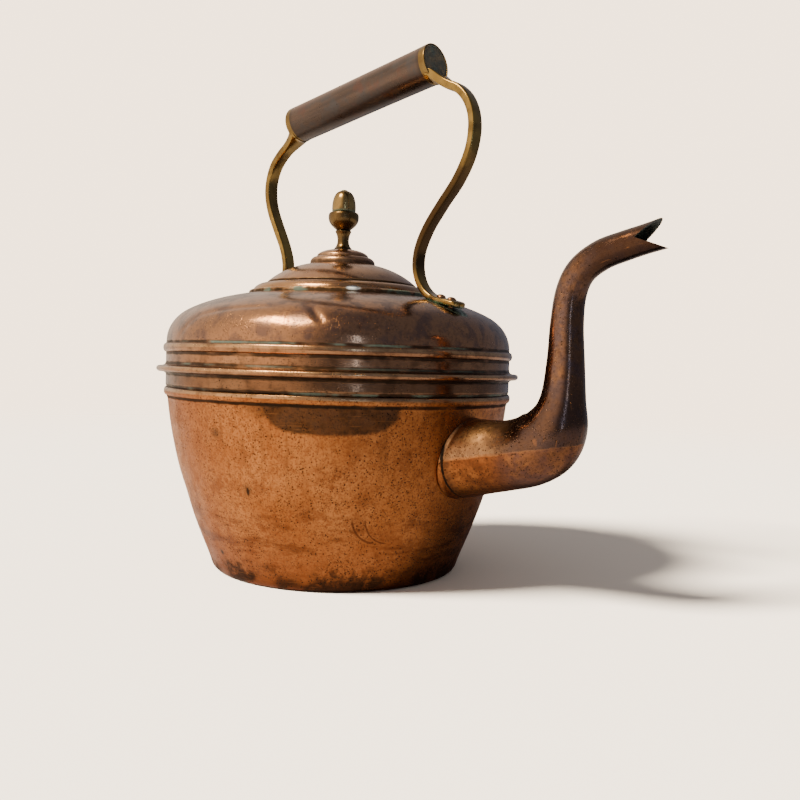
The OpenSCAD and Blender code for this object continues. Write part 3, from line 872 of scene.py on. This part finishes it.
def body_material():
    """Orange, pitted wall below the beads; browner bands; and a polished, clouded shoulder."""
    s = Surface("body_copper")
    around = s.join(s.times(s.angle, MEAN_R), s.z, s.radius)
    big, cloud, fine = s.noise(38, 3), s.noise(11, 6, 0.6), s.noise(1.3, 3, 0.6)
    upper = s.step(s.ragged(s.z, cloud, 2.0), 112.5, 115.0)
    shoulder = s.step(s.z, 141.0, 146.0)

    # Tapered wall
    grain = s.noise(3.6, 6, 0.72)
    wall = s.coats(
        s.mix(s.step(big, 0.38, 0.62), ORANGE, PALE_ORANGE),
        (cloud, 0.48, 0.70, 0.50, DEEP_ORANGE))
    rusty = s.times(s.step(s.noise(19, 6, 0.7), 0.52, 0.64), 0.55)
    wall = s.mix(rusty, wall, (0.22, 0.062, 0.018))
    wall = s.coats(
        wall,
        (grain, 0.46, 0.68, 0.50, (0.22, 0.064, 0.017)),
        (fine, 0.46, 0.66, 0.55, RED_BROWN),
        (s.z, 11.0, 2.5, 0.72, (0.085, 0.028, 0.014)))
    runs = s.stretched(around, (0.16, 0.016, 0.02), 5, 0.6)
    runs = s.times(s.step(runs, 0.50, 0.70), s.step(s.z, 58.0, 96.0, 0.15, 1.0))
    wall = s.mix(s.times(runs, 0.50), wall, (0.19, 0.066, 0.022))
    low = s.step(s.ragged(s.z, big, 40.0), 52.0, 6.0)
    wall = s.mix(s.times(low, 0.60), wall, (0.30, 0.084, 0.024))
    streaks = s.stretched(around, (0.026, 0.13, 0.02), 6, 0.70)
    streaked = s.times(s.step(streaks, 0.47, 0.63), s.step(s.z, 66.0, 30.0), s.step(s.z, 2.0, 18.0))
    wall = s.mix(s.times(streaked, 0.66), wall, (0.13, 0.034, 0.012))
    soot = s.times(s.step(s.add(s.z, s.times(s.noise(7, 6, 0.75, warp=0.4), -44.0)), -6.0, -18.0),
                   s.step(s.noise(24, 2), 0.44, 0.62, 0.10, 1.0))
    wall = s.mix(s.times(soot, 0.86), wall, SOOT)
    # Dark patches just below the lower bead, one at the front and one at the back
    dark_patch = s.most(s.patch(-47.8, 112.0, 21.5, 19.0, soft=0.12, ragged=0.20, power=3.0),
                   s.times(s.patch(-54.0, 112.0, 25.0, 16.0, soft=0.50, ragged=0.50), 0.75))
    dark_patch_far = s.patch(128.0, 111.0, 17.0, 13.0, soft=0.3, ragged=0.25)
    dark_patches = s.times(s.most(dark_patch, s.times(dark_patch_far, 0.7)), s.step(s.z, 110.8, 109.8))
    tone = s.mix(s.step(cloud, 0.36, 0.66), (0.034, 0.018, 0.010), (0.085, 0.044, 0.025))
    wall = s.mix(s.times(dark_patches, s.step(grain, 0.35, 0.65, 0.95, 0.80)), wall, tone)
    blots = s.most(*(s.patch(*blot) for blot in BLOTS))
    wall = s.mix(s.times(blots, 0.62), wall, DARK_BROWN)
    cores = s.most(*(s.patch(*core) for core in BLOT_CORES))
    wall = s.mix(s.times(cores, 0.85), wall, SOOT)

    # Bands between the beads, and the shoulder
    band = s.coats(
        s.mix(s.step(big, 0.35, 0.65), BROWN, (0.44, 0.225, 0.115)),
        (cloud, 0.46, 0.66, 0.68, DARK_BROWN),
        (grain, 0.50, 0.70, 0.45, DARK_BROWN),
        (s.z, 127.0, 123.5, 0.50, DARK_BROWN))
    dome = s.coats(
        s.mix(s.step(big, 0.36, 0.64), PINK_BROWN, (0.40, 0.205, 0.11)),
        (cloud, 0.45, 0.64, 0.80, PURPLE_BROWN),
        (grain, 0.52, 0.72, 0.45, (0.12, 0.062, 0.036)),
        (fine, 0.52, 0.76, 0.35, DARK_BROWN))
    band = s.mix(shoulder, band, dome)
    colour = s.mix(upper, wall, band)

    # Grime with painted shade, and verdigris, in the creases beside the beads; worn tops of the beads with a
    # painted highlight
    uneven_edge = s.times(s.less(s.noise(6, 4, 0.6), 0.5), 1.5)
    z = s.add(s.z, uneven_edge)
    creases = [s.line(z, *crease) for crease in CREASES]
    # Painted highlight: a light line along the top of each bead, partly worn metal and partly a lit edge
    worn_and_lit_crests = s.most(*(s.line(s.z, height, 1.3) for height in CRESTS))
    worn_and_lit_crests = s.times(worn_and_lit_crests, s.step(s.noise(9, 5, 0.65), 0.34, 0.56, 0.30, 1.0))
    colour = s.mix(s.times(worn_and_lit_crests, 0.72), colour, WORN_AND_LIT_CREST)
    # Painted shade: the creases beside the beads darkened partly as grime and partly as shade
    dark = s.times(s.most(*creases), s.step(s.noise(16, 3), 0.30, 0.50, 0.55, 1.0))
    colour = s.mix(s.times(dark, 0.88), colour, (0.022, 0.016, 0.011))
    z = s.add(s.z, s.times(uneven_edge, 0.4))
    green_lines = s.most(s.line(z, 116.5, 1.1), s.line(z, 143.6, 0.9), s.times(s.line(s.z, 130.7, 0.8), 0.6))
    green = s.times(green_lines, s.step(s.noise(24, 3), 0.46, 0.60))
    colour = s.mix(s.times(green, 0.75), colour, s.mix(s.noise(3), VERDIGRIS, PALE_VERDIGRIS))
    feet = s.most(*(s.oval(x, 15.0, 9.0) for x, _ in (FRONT_FOOT, REAR_FOOT)))
    feet = s.times(feet, s.step(s.z, 150.0, 160.0))
    colour = s.mix(s.times(feet, 0.92), colour,
                   s.mix(s.step(s.noise(2.2, 5, 0.7), 0.42, 0.60), VERDIGRIS, TEAL))

    # Pits, in drifts, thicker on the wall than above it
    drift = s.step(s.noise(26, 5, 0.70), 0.36, 0.60, 0.08, 0.95)
    pits = s.pits(1.6, s.times(drift, s.step(s.z, 138.0, 104.0, 0.25, 1.0)), 0.50)
    specks = s.pits(1.0, s.step(s.noise(15, 5, 0.70), 0.36, 0.58, 0.10, 0.90), 0.36)
    colour = s.mix(s.times(pits, 0.94), colour, (0.034, 0.019, 0.012))
    colour = s.mix(s.times(specks, 0.75), colour, (0.050, 0.028, 0.017))

    # Wear: hairlines along the turning, arc-shaped scratches near the base, and nicks
    hair = s.step(s.stretched(around, (0.045, 2.4, 0.05), 2, 0.5), 0.66, 0.72)
    scratch = s.most(*(arc_scratch(s, *arc) for arc in ARCS))
    colour = s.mix(s.times(scratch, 0.80), colour, (0.11, 0.034, 0.014))
    colour = s.mix(s.times(hair, s.less(0.35, s.times(upper, 0.15))), colour, PALE_ORANGE)
    nicks = s.stretched(around, (0.9, 0.10, 0.05), 3, 0.6)
    nicks = s.times(s.step(nicks, 0.60, 0.70), s.step(s.noise(20, 3), 0.42, 0.58))
    colour = s.mix(s.times(nicks, 0.40), colour, (0.15, 0.05, 0.02))

    rough = s.step(cloud, 0.30, 0.75, 0.36, 0.52)
    sheen = s.step(cloud, 0.35, 0.75, 0.15, 0.27)
    rough = s.add(s.times(rough, s.less(1.0, upper)), s.times(sheen, upper))
    rough = s.add(rough, s.times(s.most(pits, dark, green, feet, s.times(soot, 0.6)), 0.30))
    rough = s.less(rough, s.times(dark_patches, 0.10))
    metal = s.less(1.0, s.times(green, 0.5))
    s.bump(s.noise(9, 2), 0.10)
    worn = s.most(pits, s.times(specks, 0.5), s.times(scratch, 0.6), s.times(nicks, 0.3))
    s.bump(s.times(s.less(s.times(fine, 0.35), worn), s.less(1.0, s.times(upper, 0.6))), 0.18)
    return s.finish(colour, rough, metal)


def arc_scratch(s, angle, z, radius, half, side):
    """Lower quarter, on one side, of a thin ring on the wall, centred on an angle in degrees and a height."""
    u = s.times(s.less(s.angle, math.radians(angle)), LOW_WALL_R * side)
    v = s.less(s.z, z)
    return s.times(s.line(s.length(u, v), radius, half * 2), s.step(u, 0.0, 3.0), s.step(v, 2.0, -3.0))


def collar_material():
    """Polished ring with grime and verdigris in its grooves, and a spot of solder at the front."""
    s = Surface("collar_copper")
    big, cloud, fine = s.noise(26, 3), s.noise(8, 5, 0.6), s.noise(1.1, 3)
    colour = s.coats(
        s.mix(s.step(big, 0.36, 0.64), (0.50, 0.275, 0.125), PINK_BROWN),
        (cloud, 0.48, 0.70, 0.55, (0.22, 0.11, 0.055)),
        (fine, 0.56, 0.76, 0.35, DARK_BROWN))
    edge = s.ragged(s.radius, s.noise(4, 4), 1.2)
    groove = s.most(s.line(edge, 59.0, 0.9), s.line(edge, 61.3, 1.0), s.line(edge, 48.6, 1.5))
    colour = s.mix(s.times(groove, 0.88), colour, (0.022, 0.021, 0.015))
    green = s.times(s.most(s.line(edge, 60.8, 2.0), s.line(edge, 49.3, 1.3)),
                    s.step(s.add(s.noise(15, 3), s.times(s.x, 0.0016)), 0.50, 0.62))
    colour = s.mix(s.times(green, 0.85), colour, s.mix(s.noise(2.5), VERDIGRIS, PALE_VERDIGRIS))
    solder = s.patch(-39.0, 178.6, 5.5, 1.8, 0.5, 0.5)
    colour = s.mix(solder, colour, (0.66, 0.68, 0.64))
    specks = s.pits(1.3, s.step(s.noise(12, 3), 0.40, 0.66, 0.05, 0.45), 0.42)
    colour = s.mix(s.times(specks, 0.65), colour, (0.05, 0.03, 0.02))
    rough = s.add(s.step(cloud, 0.35, 0.75, 0.17, 0.32), s.times(s.most(green, groove), 0.4))
    s.bump(s.noise(6, 2), 0.08)
    s.bump(s.less(s.times(fine, 0.3), s.most(specks, s.times(green, 0.4))), 0.06)
    return s.finish(colour, rough, s.less(1.0, s.times(green, 0.5)))


def lid_material():
    """Polished pink-brown copper, with faint turning rings and grime in the steps of the crown."""
    s = Surface("lid_copper")
    big, cloud, fine = s.noise(24, 3), s.noise(7, 5, 0.6), s.noise(1.0, 3)
    colour = s.coats(
        s.mix(s.step(big, 0.36, 0.64), (0.53, 0.305, 0.170), (0.43, 0.230, 0.128)),
        (cloud, 0.50, 0.72, 0.45, PURPLE_BROWN),
        (fine, 0.56, 0.78, 0.30, DARK_BROWN))
    rings = s.noise(1.0, 2, 0.5, at=s.join(s.times(s.radius, 1.3), 0.0, 0.0))
    colour = s.coats(colour, (rings, 0.55, 0.75, 0.20, (0.22, 0.12, 0.065)))
    edge = s.ragged(s.radius, s.noise(4, 4), 0.9)
    creases = s.most(s.line(edge, 21.9, 1.1), s.times(s.line(edge, 17.3, 0.6), s.step(s.z, 199.5, 201.5)),
                     s.line(edge, 49.3, 0.9), s.times(s.line(edge, 6.4, 0.9), s.step(s.z, 205.0, 207.0)))
    colour = s.mix(s.times(creases, 0.80), colour, (0.040, 0.032, 0.022))
    specks = s.pits(1.2, s.step(s.noise(11, 3), 0.40, 0.66, 0.04, 0.40), 0.40)
    colour = s.mix(s.times(specks, 0.60), colour, (0.05, 0.03, 0.02))
    rough = s.add(s.step(cloud, 0.35, 0.75, 0.17, 0.30), s.times(creases, 0.35))
    s.bump(s.noise(7, 2), 0.07)
    s.bump(s.less(s.add(s.times(fine, 0.25), s.times(rings, 0.30)), specks), 0.05)
    return s.finish(colour, rough)


def spout_material():
    """Pitted orange copper under a tide line, polished tan above it, and purple-brown up the riser, partly
    patina and partly a painted dark reflection, darkest at the lower bend.
    """
    s = Surface("spout_copper")
    big, cloud, fine = s.noise(24, 3), s.noise(7, 6, 0.6), s.noise(1.2, 3)
    # Height over the tide line, which rises slowly along the spout
    level = s.less(s.z, s.add(s.times(s.x, 0.196), 58.7))
    level = s.ragged(level, s.noise(12, 3), 3.0)
    above = s.step(level, -0.5, 0.5)
    spread = s.times(s.less(big, 0.5), 16.0)
    top = s.times(s.step(s.less(level, s.times(s.math("ABSOLUTE", s.y), 0.5)), 12.0, 18.0), 0.75)
    # Riser mask: purple-brown that is partly patina and partly a painted reflection of the dark surroundings
    riser = s.most(s.step(s.add(s.z, spread), 96.0, 120.0), s.times(top, s.step(s.x, 118.0, 132.0)),
                   s.times(s.step(s.add(s.x, spread), 134.0, 154.0), s.add(s.times(above, 0.45), 0.55)))
    grain = s.noise(2.2, 6, 0.75)
    low = s.coats(
        s.mix(s.step(big, 0.36, 0.64), ORANGE, DEEP_ORANGE),
        (cloud, 0.42, 0.62, 0.74, (0.18, 0.058, 0.021)),
        (grain, 0.46, 0.64, 0.66, (0.105, 0.040, 0.018)))
    tan = s.coats(
        s.mix(s.step(big, 0.36, 0.64), (0.60, 0.34, 0.162), (0.45, 0.240, 0.116)),
        (cloud, 0.46, 0.64, 0.62, (0.19, 0.108, 0.066)),
        (grain, 0.48, 0.64, 0.68, (0.10, 0.050, 0.028)))
    colour = s.mix(above, low, tan)
    colour = s.mix(s.times(s.line(level, 0.2, 1.1), 0.5), colour, PALE_ORANGE)
    dark = s.coats(
        s.mix(s.step(cloud, 0.36, 0.66), (0.250, 0.126, 0.068), (0.150, 0.098, 0.090)),
        (grain, 0.48, 0.66, 0.60, (0.052, 0.030, 0.026)),
        (fine, 0.50, 0.74, 0.45, DARK_BROWN))
    beak = s.step(s.x, 166.0, 194.0)
    dark = s.mix(s.times(beak, 0.85), dark, (0.048, 0.024, 0.016))
    colour = s.mix(riser, colour, dark)
    # Painted reflection: the lower bend darkened for the dark surroundings it mirrors
    elbow_dark_reflection = s.times(s.step(s.z, 134.0, 108.0), s.step(s.add(s.x, spread), 124.0, 148.0), above)
    colour = s.mix(s.times(elbow_dark_reflection, 0.62), colour, (0.075, 0.044, 0.035))
    # The soldered joint with the wall, and the paler ring beside it
    joint, root = s.less(s.radius, 109.2), s.step(s.x, 150.0, 140.0)
    crease = s.times(s.line(s.ragged(joint, s.noise(3), 0.7), -0.7, 1.1), root)
    colour = s.mix(s.times(s.line(joint, 1.5, 4.0), root, 0.35), colour, (0.19, 0.095, 0.042))
    colour = s.mix(s.times(crease, 0.92), colour, (0.012, 0.014, 0.013))
    pits = s.pits(1.5, s.times(s.step(s.noise(22, 4), 0.34, 0.58, 0.15, 0.95),
                               s.step(s.z, 130.0, 95.0, 0.35, 1.0)), 0.48)
    specks = s.pits(0.9, s.step(s.noise(12, 4), 0.38, 0.62, 0.10, 0.70), 0.30)
    colour = s.mix(s.times(pits, 0.80), colour, (0.035, 0.020, 0.012))
    colour = s.mix(s.times(specks, 0.60), colour, (0.05, 0.028, 0.018))
    along = s.join(s.times(s.x, 0.09), s.times(s.y, 0.8), s.times(s.z, 0.09))
    hair = s.step(s.noise(1.0, 3, 0.6, at=along), 0.60, 0.70)
    colour = s.mix(s.times(hair, 0.25), colour, PALE_ORANGE)
    matte = s.step(cloud, 0.30, 0.75, 0.34, 0.50)
    sheen = s.step(cloud, 0.35, 0.75, 0.16, 0.28)
    shiny = s.most(s.times(above, 0.25), riser)
    rough = s.add(s.times(matte, s.less(1.0, shiny)), s.times(sheen, shiny))
    rough = s.add(rough, s.times(s.most(pits, crease), 0.3))
    s.bump(s.noise(9, 2), 0.10)
    s.bump(s.less(s.times(fine, 0.25), s.most(pits, s.times(specks, 0.5))), 0.10)
    return s.finish(colour, rough)


# Name, pale, middle and dark tones, share of patina, and roughness at its smoothest
BRASS_LOOKS = [
    ("handle_brass", (0.36, 0.235, 0.070), (0.24, 0.150, 0.048), (0.075, 0.045, 0.020), 0.58, 0.15),
    ("cap_brass", (0.25, 0.165, 0.060), (0.17, 0.108, 0.040), (0.08, 0.048, 0.020), 0.5, 0.26),
    ("finial_brass", (0.44, 0.30, 0.115), (0.31, 0.200, 0.076), (0.075, 0.044, 0.020), 0.60, 0.17),
    ("rivet_copper", (0.44, 0.235, 0.115), (0.32, 0.155, 0.072), (0.10, 0.052, 0.026), 0.6, 0.24),
]


def brass_material(name, pale, mid, dark, patina, shine):
    """Aged brass: worn bright in places, brown in others, with a little verdigris."""
    s = Surface(name)
    big, cloud, fine = s.noise(22, 3), s.noise(9, 5, 0.6), s.noise(0.9, 3)
    colour = s.mix(s.step(big, 0.36, 0.64), mid, pale)
    if name == "handle_brass":
        front = s.times(s.step(s.z, 268.0, 236.0), s.step(s.z, 180.0, 196.0), s.step(s.x, 0.0, 20.0))
        rear = s.times(s.step(s.z, 222.0, 250.0), s.step(s.x, 0.0, -20.0))
        colour = s.mix(s.times(s.most(front, s.times(rear, 0.10)), 0.90), colour, (0.046, 0.024, 0.012))
    colour = s.coats(
        colour,
        (cloud, 0.44, 0.68, patina, dark),
        (fine, 0.54, 0.76, 0.22, dark))
    specks = s.pits(1.0, s.step(s.noise(9, 3), 0.42, 0.68, 0.03, 0.34), 0.28)
    colour = s.mix(s.times(specks, 0.6), colour, (0.035, 0.025, 0.014))
    if name == "finial_brass":
        colour = s.coats(colour, (s.z, 233.6, 231.6, 0.70, (0.080, 0.046, 0.020)))
        seam = s.ragged(s.z, s.noise(3, 4), 1.6)
        ring = s.times(s.line(seam, 233.2, 1.3), s.step(s.radius, 5.5, 7.0))
        colour = s.mix(s.times(ring, 0.75), colour, PALE_VERDIGRIS)
        tip = s.times(s.step(s.z, 246.2, 247.2), 0.6)
        colour = s.mix(tip, colour, TEAL)
        grime = s.most(s.line(s.z, 221.0, 1.0), s.line(s.z, 208.6, 0.9))
        colour = s.mix(s.times(grime, 0.8), colour, (0.030, 0.024, 0.014))
        rings = s.noise(1.0, 2, 0.5, at=s.join(s.times(s.z, 1.6), 0.0, 0.0))
        s.bump(rings, 0.04)
    if name == "handle_brass":
        under = s.most(*(s.under_foot(*foot) for foot in (FRONT_FOOT, REAR_FOOT)))
        stained = s.times(under, s.step(s.noise(4, 4), 0.36, 0.52))
        colour = s.mix(s.times(stained, 0.9), colour, s.mix(s.noise(2), VERDIGRIS, TEAL))
    rough = s.add(s.step(cloud, 0.35, 0.75, shine, shine + 0.17), s.times(specks, 0.2))
    s.bump(s.noise(7, 2), 0.04)
    s.bump(s.less(s.times(fine, 0.3), specks), 0.02)
    return s.finish(colour, rough)


def grip_material():
    """Handled copper tube, dark and purple-brown, with long streaks worn along it, a painted highlight along
    its top and painted shade along its underside.
    """
    s = Surface("grip_copper")
    along = s.vector("DOT_PRODUCT", s.place, (GRIP_DIR[0], 0.0, GRIP_DIR[1]))
    across = s.vector("DOT_PRODUCT", s.place, (GRIP_UP[0], 0.0, GRIP_UP[1]))
    long_way = s.join(s.times(along, 0.010), s.times(s.y, 0.16), s.times(across, 0.16))
    streaks = s.noise(1.0, 4, 0.5, at=long_way)
    cloud, fine = s.noise(16, 5, 0.6), s.noise(1.0, 3)
    colour = s.coats(
        s.mix(s.step(streaks, 0.34, 0.68), (0.076, 0.060, 0.055), (0.140, 0.098, 0.078)),
        (cloud, 0.44, 0.62, 0.65, (0.078, 0.082, 0.092)),
        (s.noise(13, 4), 0.54, 0.68, 0.35, (0.17, 0.072, 0.052)),
        (fine, 0.54, 0.76, 0.30, (0.05, 0.036, 0.030)))
    height = s.less(across, float(GRIP_MID @ GRIP_UP))
    # Painted light: the top of the grip lightened as a highlight, its underside darkened as shade
    colour = s.coats(
        colour,
        (height, 3.0, 10.0, 0.60, (0.33, 0.165, 0.100)),
        (height, -3.0, -8.0, 0.55, (0.040, 0.028, 0.023)))
    half = GRIP_LEN / 2 - CAP_BAND
    from_middle = s.math("ABSOLUTE", s.less(along, float(GRIP_MID @ GRIP_DIR)))
    ends = s.step(from_middle, half - 3.0, half)
    colour = s.mix(s.times(ends, 0.6), colour, (0.06, 0.045, 0.035))
    specks = s.pits(1.2, s.step(s.noise(12, 3), 0.40, 0.66, 0.05, 0.40), 0.40)
    colour = s.mix(s.times(specks, 0.7), colour, (0.03, 0.02, 0.015))
    rough = s.step(cloud, 0.30, 0.70, 0.24, 0.36)
    s.bump(streaks, 0.03)
    s.bump(s.less(s.times(fine, 0.3), specks), 0.05)
    return s.finish(colour, rough)


def blackened_material():
    """Nearly black, uncleaned end discs with brown and teal in them."""
    s = Surface("blackened_brass")
    cloud, fine = s.noise(5, 5, 0.6), s.noise(1.2, 3)
    colour = s.coats(
        s.mix(s.step(cloud, 0.40, 0.62), (0.094, 0.094, 0.076), (0.150, 0.125, 0.084)),
        (s.noise(7, 3), 0.52, 0.66, 0.6, (0.085, 0.125, 0.115)),
        (fine, 0.52, 0.74, 0.35, (0.05, 0.044, 0.034)))
    across = s.less(s.vector("DOT_PRODUCT", s.place, (GRIP_UP[0], 0.0, GRIP_UP[1])),
                    float(GRIP_MID @ GRIP_UP))
    from_axis = s.length(across, s.y)
    turning = s.noise(1.0, 3, 0.6, at=s.join(s.times(from_axis, 0.9), 0.0, 0.0))
    colour = s.coats(colour, (turning, 0.45, 0.62, 0.45, (0.045, 0.040, 0.030)))
    s.bump(s.add(turning, s.times(fine, 0.4)), 0.05)
    return s.finish(colour, s.step(cloud, 0.3, 0.7, 0.42, 0.60), 0.7)


def dark_inside_material():
    """Sooty, teal-black bore of the spout."""
    s = Surface("spout_bore")
    cloud, fine = s.noise(5, 4), s.noise(1.0, 3)
    colour = s.coats(
        s.mix(s.step(cloud, 0.40, 0.62), (0.010, 0.012, 0.012), (0.030, 0.040, 0.038)),
        (fine, 0.55, 0.75, 0.5, (0.06, 0.045, 0.03)))
    s.bump(fine, 0.06)
    return s.finish(colour, s.step(cloud, 0.3, 0.7, 0.45, 0.65), 0.5)


def tin_material():
    """Wiped tin lining, dull grey with brown wear."""
    s = Surface("tin_lining")
    cloud, fine = s.noise(14, 5, 0.6), s.noise(1.4, 3)
    colour = s.coats(
        s.mix(s.step(cloud, 0.36, 0.66), (0.40, 0.385, 0.36), (0.27, 0.25, 0.225)),
        (s.noise(9, 4), 0.54, 0.70, 0.6, (0.20, 0.13, 0.09)))
    s.bump(s.add(s.times(cloud, 0.6), s.times(fine, 0.3)), 0.12)
    return s.finish(colour, s.step(cloud, 0.3, 0.7, 0.34, 0.50))


# ---- light, floor and camera ----

VIEW_AZIMUTH = 44.65


def direction(azimuth, elevation):
    """Unit vector away from the object; azimuth is counted from the camera, to its right."""
    a, e = math.radians(VIEW_AZIMUTH + azimuth), math.radians(elevation)
    return Vector((math.sin(a) * math.cos(e), -math.cos(a) * math.cos(e), math.sin(e)))


def softbox(name, azimuth, elevation, distance, size, watts, colour, aim=(0.02, 0, 0.13)):
    """Rectangular light that the metal mirrors, and that the floor doesn't show."""
    light = bpy.data.lights.new(name, "AREA")
    light.shape = "RECTANGLE"
    light.size, light.size_y = size
    light.energy = watts
    light.color = colour
    obj = put_in_scene(name, light)
    away = direction(azimuth, elevation)
    obj.location = Vector(aim) + away * distance
    obj.rotation_euler = away.to_track_quat("Z", "Y").to_euler()
    obj.visible_diffuse = False


def build_light():
    softbox("window", -58, 57, 1.15, (0.42, 0.30), 13, (1.0, 0.78, 0.46))
    softbox("cool_strip", 9, 10, 1.7, (0.030, 0.8), 1.1, (0.45, 0.66, 1.0))
    sun = bpy.data.lights.new("side_key", "SUN")
    sun.energy = 24
    sun.angle = math.radians(16)
    sun.color = (1.0, 0.93, 0.83)
    obj = put_in_scene("side_key", sun)
    obj.rotation_euler = direction(-74, 41).to_track_quat("Z", "Y").to_euler()
    obj.visible_glossy = False


FLOOR_Z = -0.0002

# Colours of light: what the eye sees, what fills the shade, and what the metal mirrors
BACKDROP = (4.2, 3.25, 2.35)
FILL = (0.42, 0.41, 0.43)
DARK_SIDE = (0.180, 0.192, 0.235)
PALE_SIDE = (1.70, 1.38, 1.06)
PALE_REAR = (1.15, 0.98, 0.80)
FLOOR_COLOUR = (0.78, 0.69, 0.585)
LIT_FLOOR = (0.30, 0.265, 0.225)
DIM_FLOOR = (0.128, 0.120, 0.122)


def build_world():
    """Even pale wall to the eye; to the metal, a studio that is pale on the left and dark on the right."""
    world = bpy.data.worlds.new("studio")
    bpy.context.scene.world = world
    n = Nodes(world)
    out = n.node("ShaderNodeOutputWorld")
    where = n.node("ShaderNodeTexCoord").outputs["Generated"]

    def toward(azimuth, elevation, low, high):
        return n.step(n.vector("DOT_PRODUCT", where, direction(azimuth, elevation)), low, high)

    mirrored = n.mix(toward(-88, 8, 0.15, 0.76), DARK_SIDE, PALE_SIDE)
    mirrored = n.mix(toward(-135, 32, 0.50, 1.0), mirrored, PALE_REAR)
    path = n.node("ShaderNodeLightPath").outputs
    colour = n.mix(path["Is Glossy Ray"], FILL, mirrored)
    colour = n.mix(path["Is Camera Ray"], colour, BACKDROP)
    light = n.node("ShaderNodeBackground")
    n.put(light.inputs[0], colour)
    n.put(out.inputs[0], light.outputs[0])


def build_floor():
    """Pale round floor that fades into the backdrop away from the object. The metal mirrors it dimmer."""
    rings, sides = [0.0, 0.15, 0.3, 0.5, 0.8, 1.2, 1.8, 2.6], 96
    a = np.linspace(0, 2 * np.pi, sides, endpoint=False)
    verts = [(0.0, 0.0, FLOOR_Z)]
    for r in rings[1:]:
        verts += [(float(r * np.cos(t)), float(r * np.sin(t)), FLOOR_Z) for t in a]
    faces = [(0, 1 + k, 1 + (k + 1) % sides) for k in range(sides)]
    for i in range(len(rings) - 2):
        low, high = 1 + i * sides, 1 + (i + 1) * sides
        faces += [(low + k, high + k, high + (k + 1) % sides, low + (k + 1) % sides) for k in range(sides)]
    mesh = bpy.data.meshes.new("floor")
    mesh.from_pydata(verts, [], faces)
    floor = put_in_scene("floor", mesh)
    s = Surface("floor")

    def either(share, a, b):
        n = s.node("ShaderNodeMixShader")
        for socket, value in zip(n.inputs, (share, a, b)):
            s.put(socket, value)
        return n.outputs[0]

    colour = s.mix(s.times(s.noise(60, 5, 0.6), 0.10), FLOOR_COLOUR, tuple(0.88 * c for c in FLOOR_COLOUR))
    s.put(s.shader.inputs["Base Color"], colour)
    s.put(s.shader.inputs["Roughness"], 0.9)
    s.put(s.shader.inputs["Specular IOR Level"], 0.1)
    from_left = s.vector("DOT_PRODUCT", s.place, tuple(direction(90, 0)))
    dull = s.node("ShaderNodeBsdfDiffuse")
    s.put(dull.inputs[0], s.mix(s.step(from_left, -210.0, 190.0), LIT_FLOOR, DIM_FLOOR))
    glossy = s.node("ShaderNodeLightPath").outputs["Is Glossy Ray"]
    seen = either(glossy, s.shader.outputs[0], dull.outputs[0])
    clear = s.node("ShaderNodeBsdfTransparent")
    faded = either(s.step(s.radius, 550.0, 1900.0), seen, clear.outputs[0])
    s.put(s.output.inputs["Surface"], faded)
    mesh.materials.append(s.material)


def build_camera():
    """The photograph's view: distance and height in metres, and turns in degrees."""
    distance, height = 0.5692, 0.1355
    yaw, pitch, roll = 4.10, 2.60, 1.64

    def turned_pair(a, b, degrees):
        """Two directions at right angles, the first turned towards the second."""
        c, s = math.cos(math.radians(degrees)), math.sin(math.radians(degrees))
        return a * c + b * s, b * c - a * s

    away = direction(0, 0)
    ahead, right, up = -away, Vector((-away.y, away.x, 0)), Vector((0, 0, 1))
    ahead, right = turned_pair(ahead, right, yaw)
    ahead, up = turned_pair(ahead, up, -pitch)
    right, up = turned_pair(right, up, roll)
    data = bpy.data.cameras.new("camera")
    data.sensor_width = 36
    data.lens = 38.25
    data.clip_start, data.clip_end = 0.01, 50
    camera = put_in_scene("camera", data)
    turn = Matrix((right, up, -ahead)).transposed()
    camera.matrix_world = Matrix.Translation(away * distance + Vector((0, 0, height))) @ turn.to_4x4()
    bpy.context.scene.camera = camera


# ---- the whole scene ----

def build_kettle():
    copper, tin, black = body_material(), tin_material(), blackened_material()
    spout, bore = spout_material(), dark_inside_material()
    arm, cap, finial, rivet = (brass_material(*look) for look in BRASS_LOOKS)
    build_body(copper, tin)
    build_collar(collar_material(), tin)
    build_spout(spout, bore)
    build_arm("arm_front", FRONT_ARM, FRONT_FOOT, 1, ["handle_arm_front"], arm)
    build_arm("arm_rear", REAR_ARM, REAR_FOOT, -1, ["handle_arm_rear"], arm)
    build_grip(grip_material(), cap, black)
    build_rivets("rivets_front", FRONT_FOOT, 1, "front_foot_rivets", rivet)
    build_rivets("rivets_rear", REAR_FOOT, -1, "rear_foot_rivets", rivet)
    build_lid(lid_material(), tin, finial)
    kept_nodes = {"front_rivet_roves": rivet, "rear_rivet_roves": rivet,
                  "finial_stud": finial, "finial_washer": finial, "finial_nut": finial}
    for node, material in kept_nodes.items():
        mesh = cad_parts[node].data
        mesh.materials.clear()
        mesh.materials.append(material)


build_kettle()
build_world()
build_light()
build_floor()
build_camera()
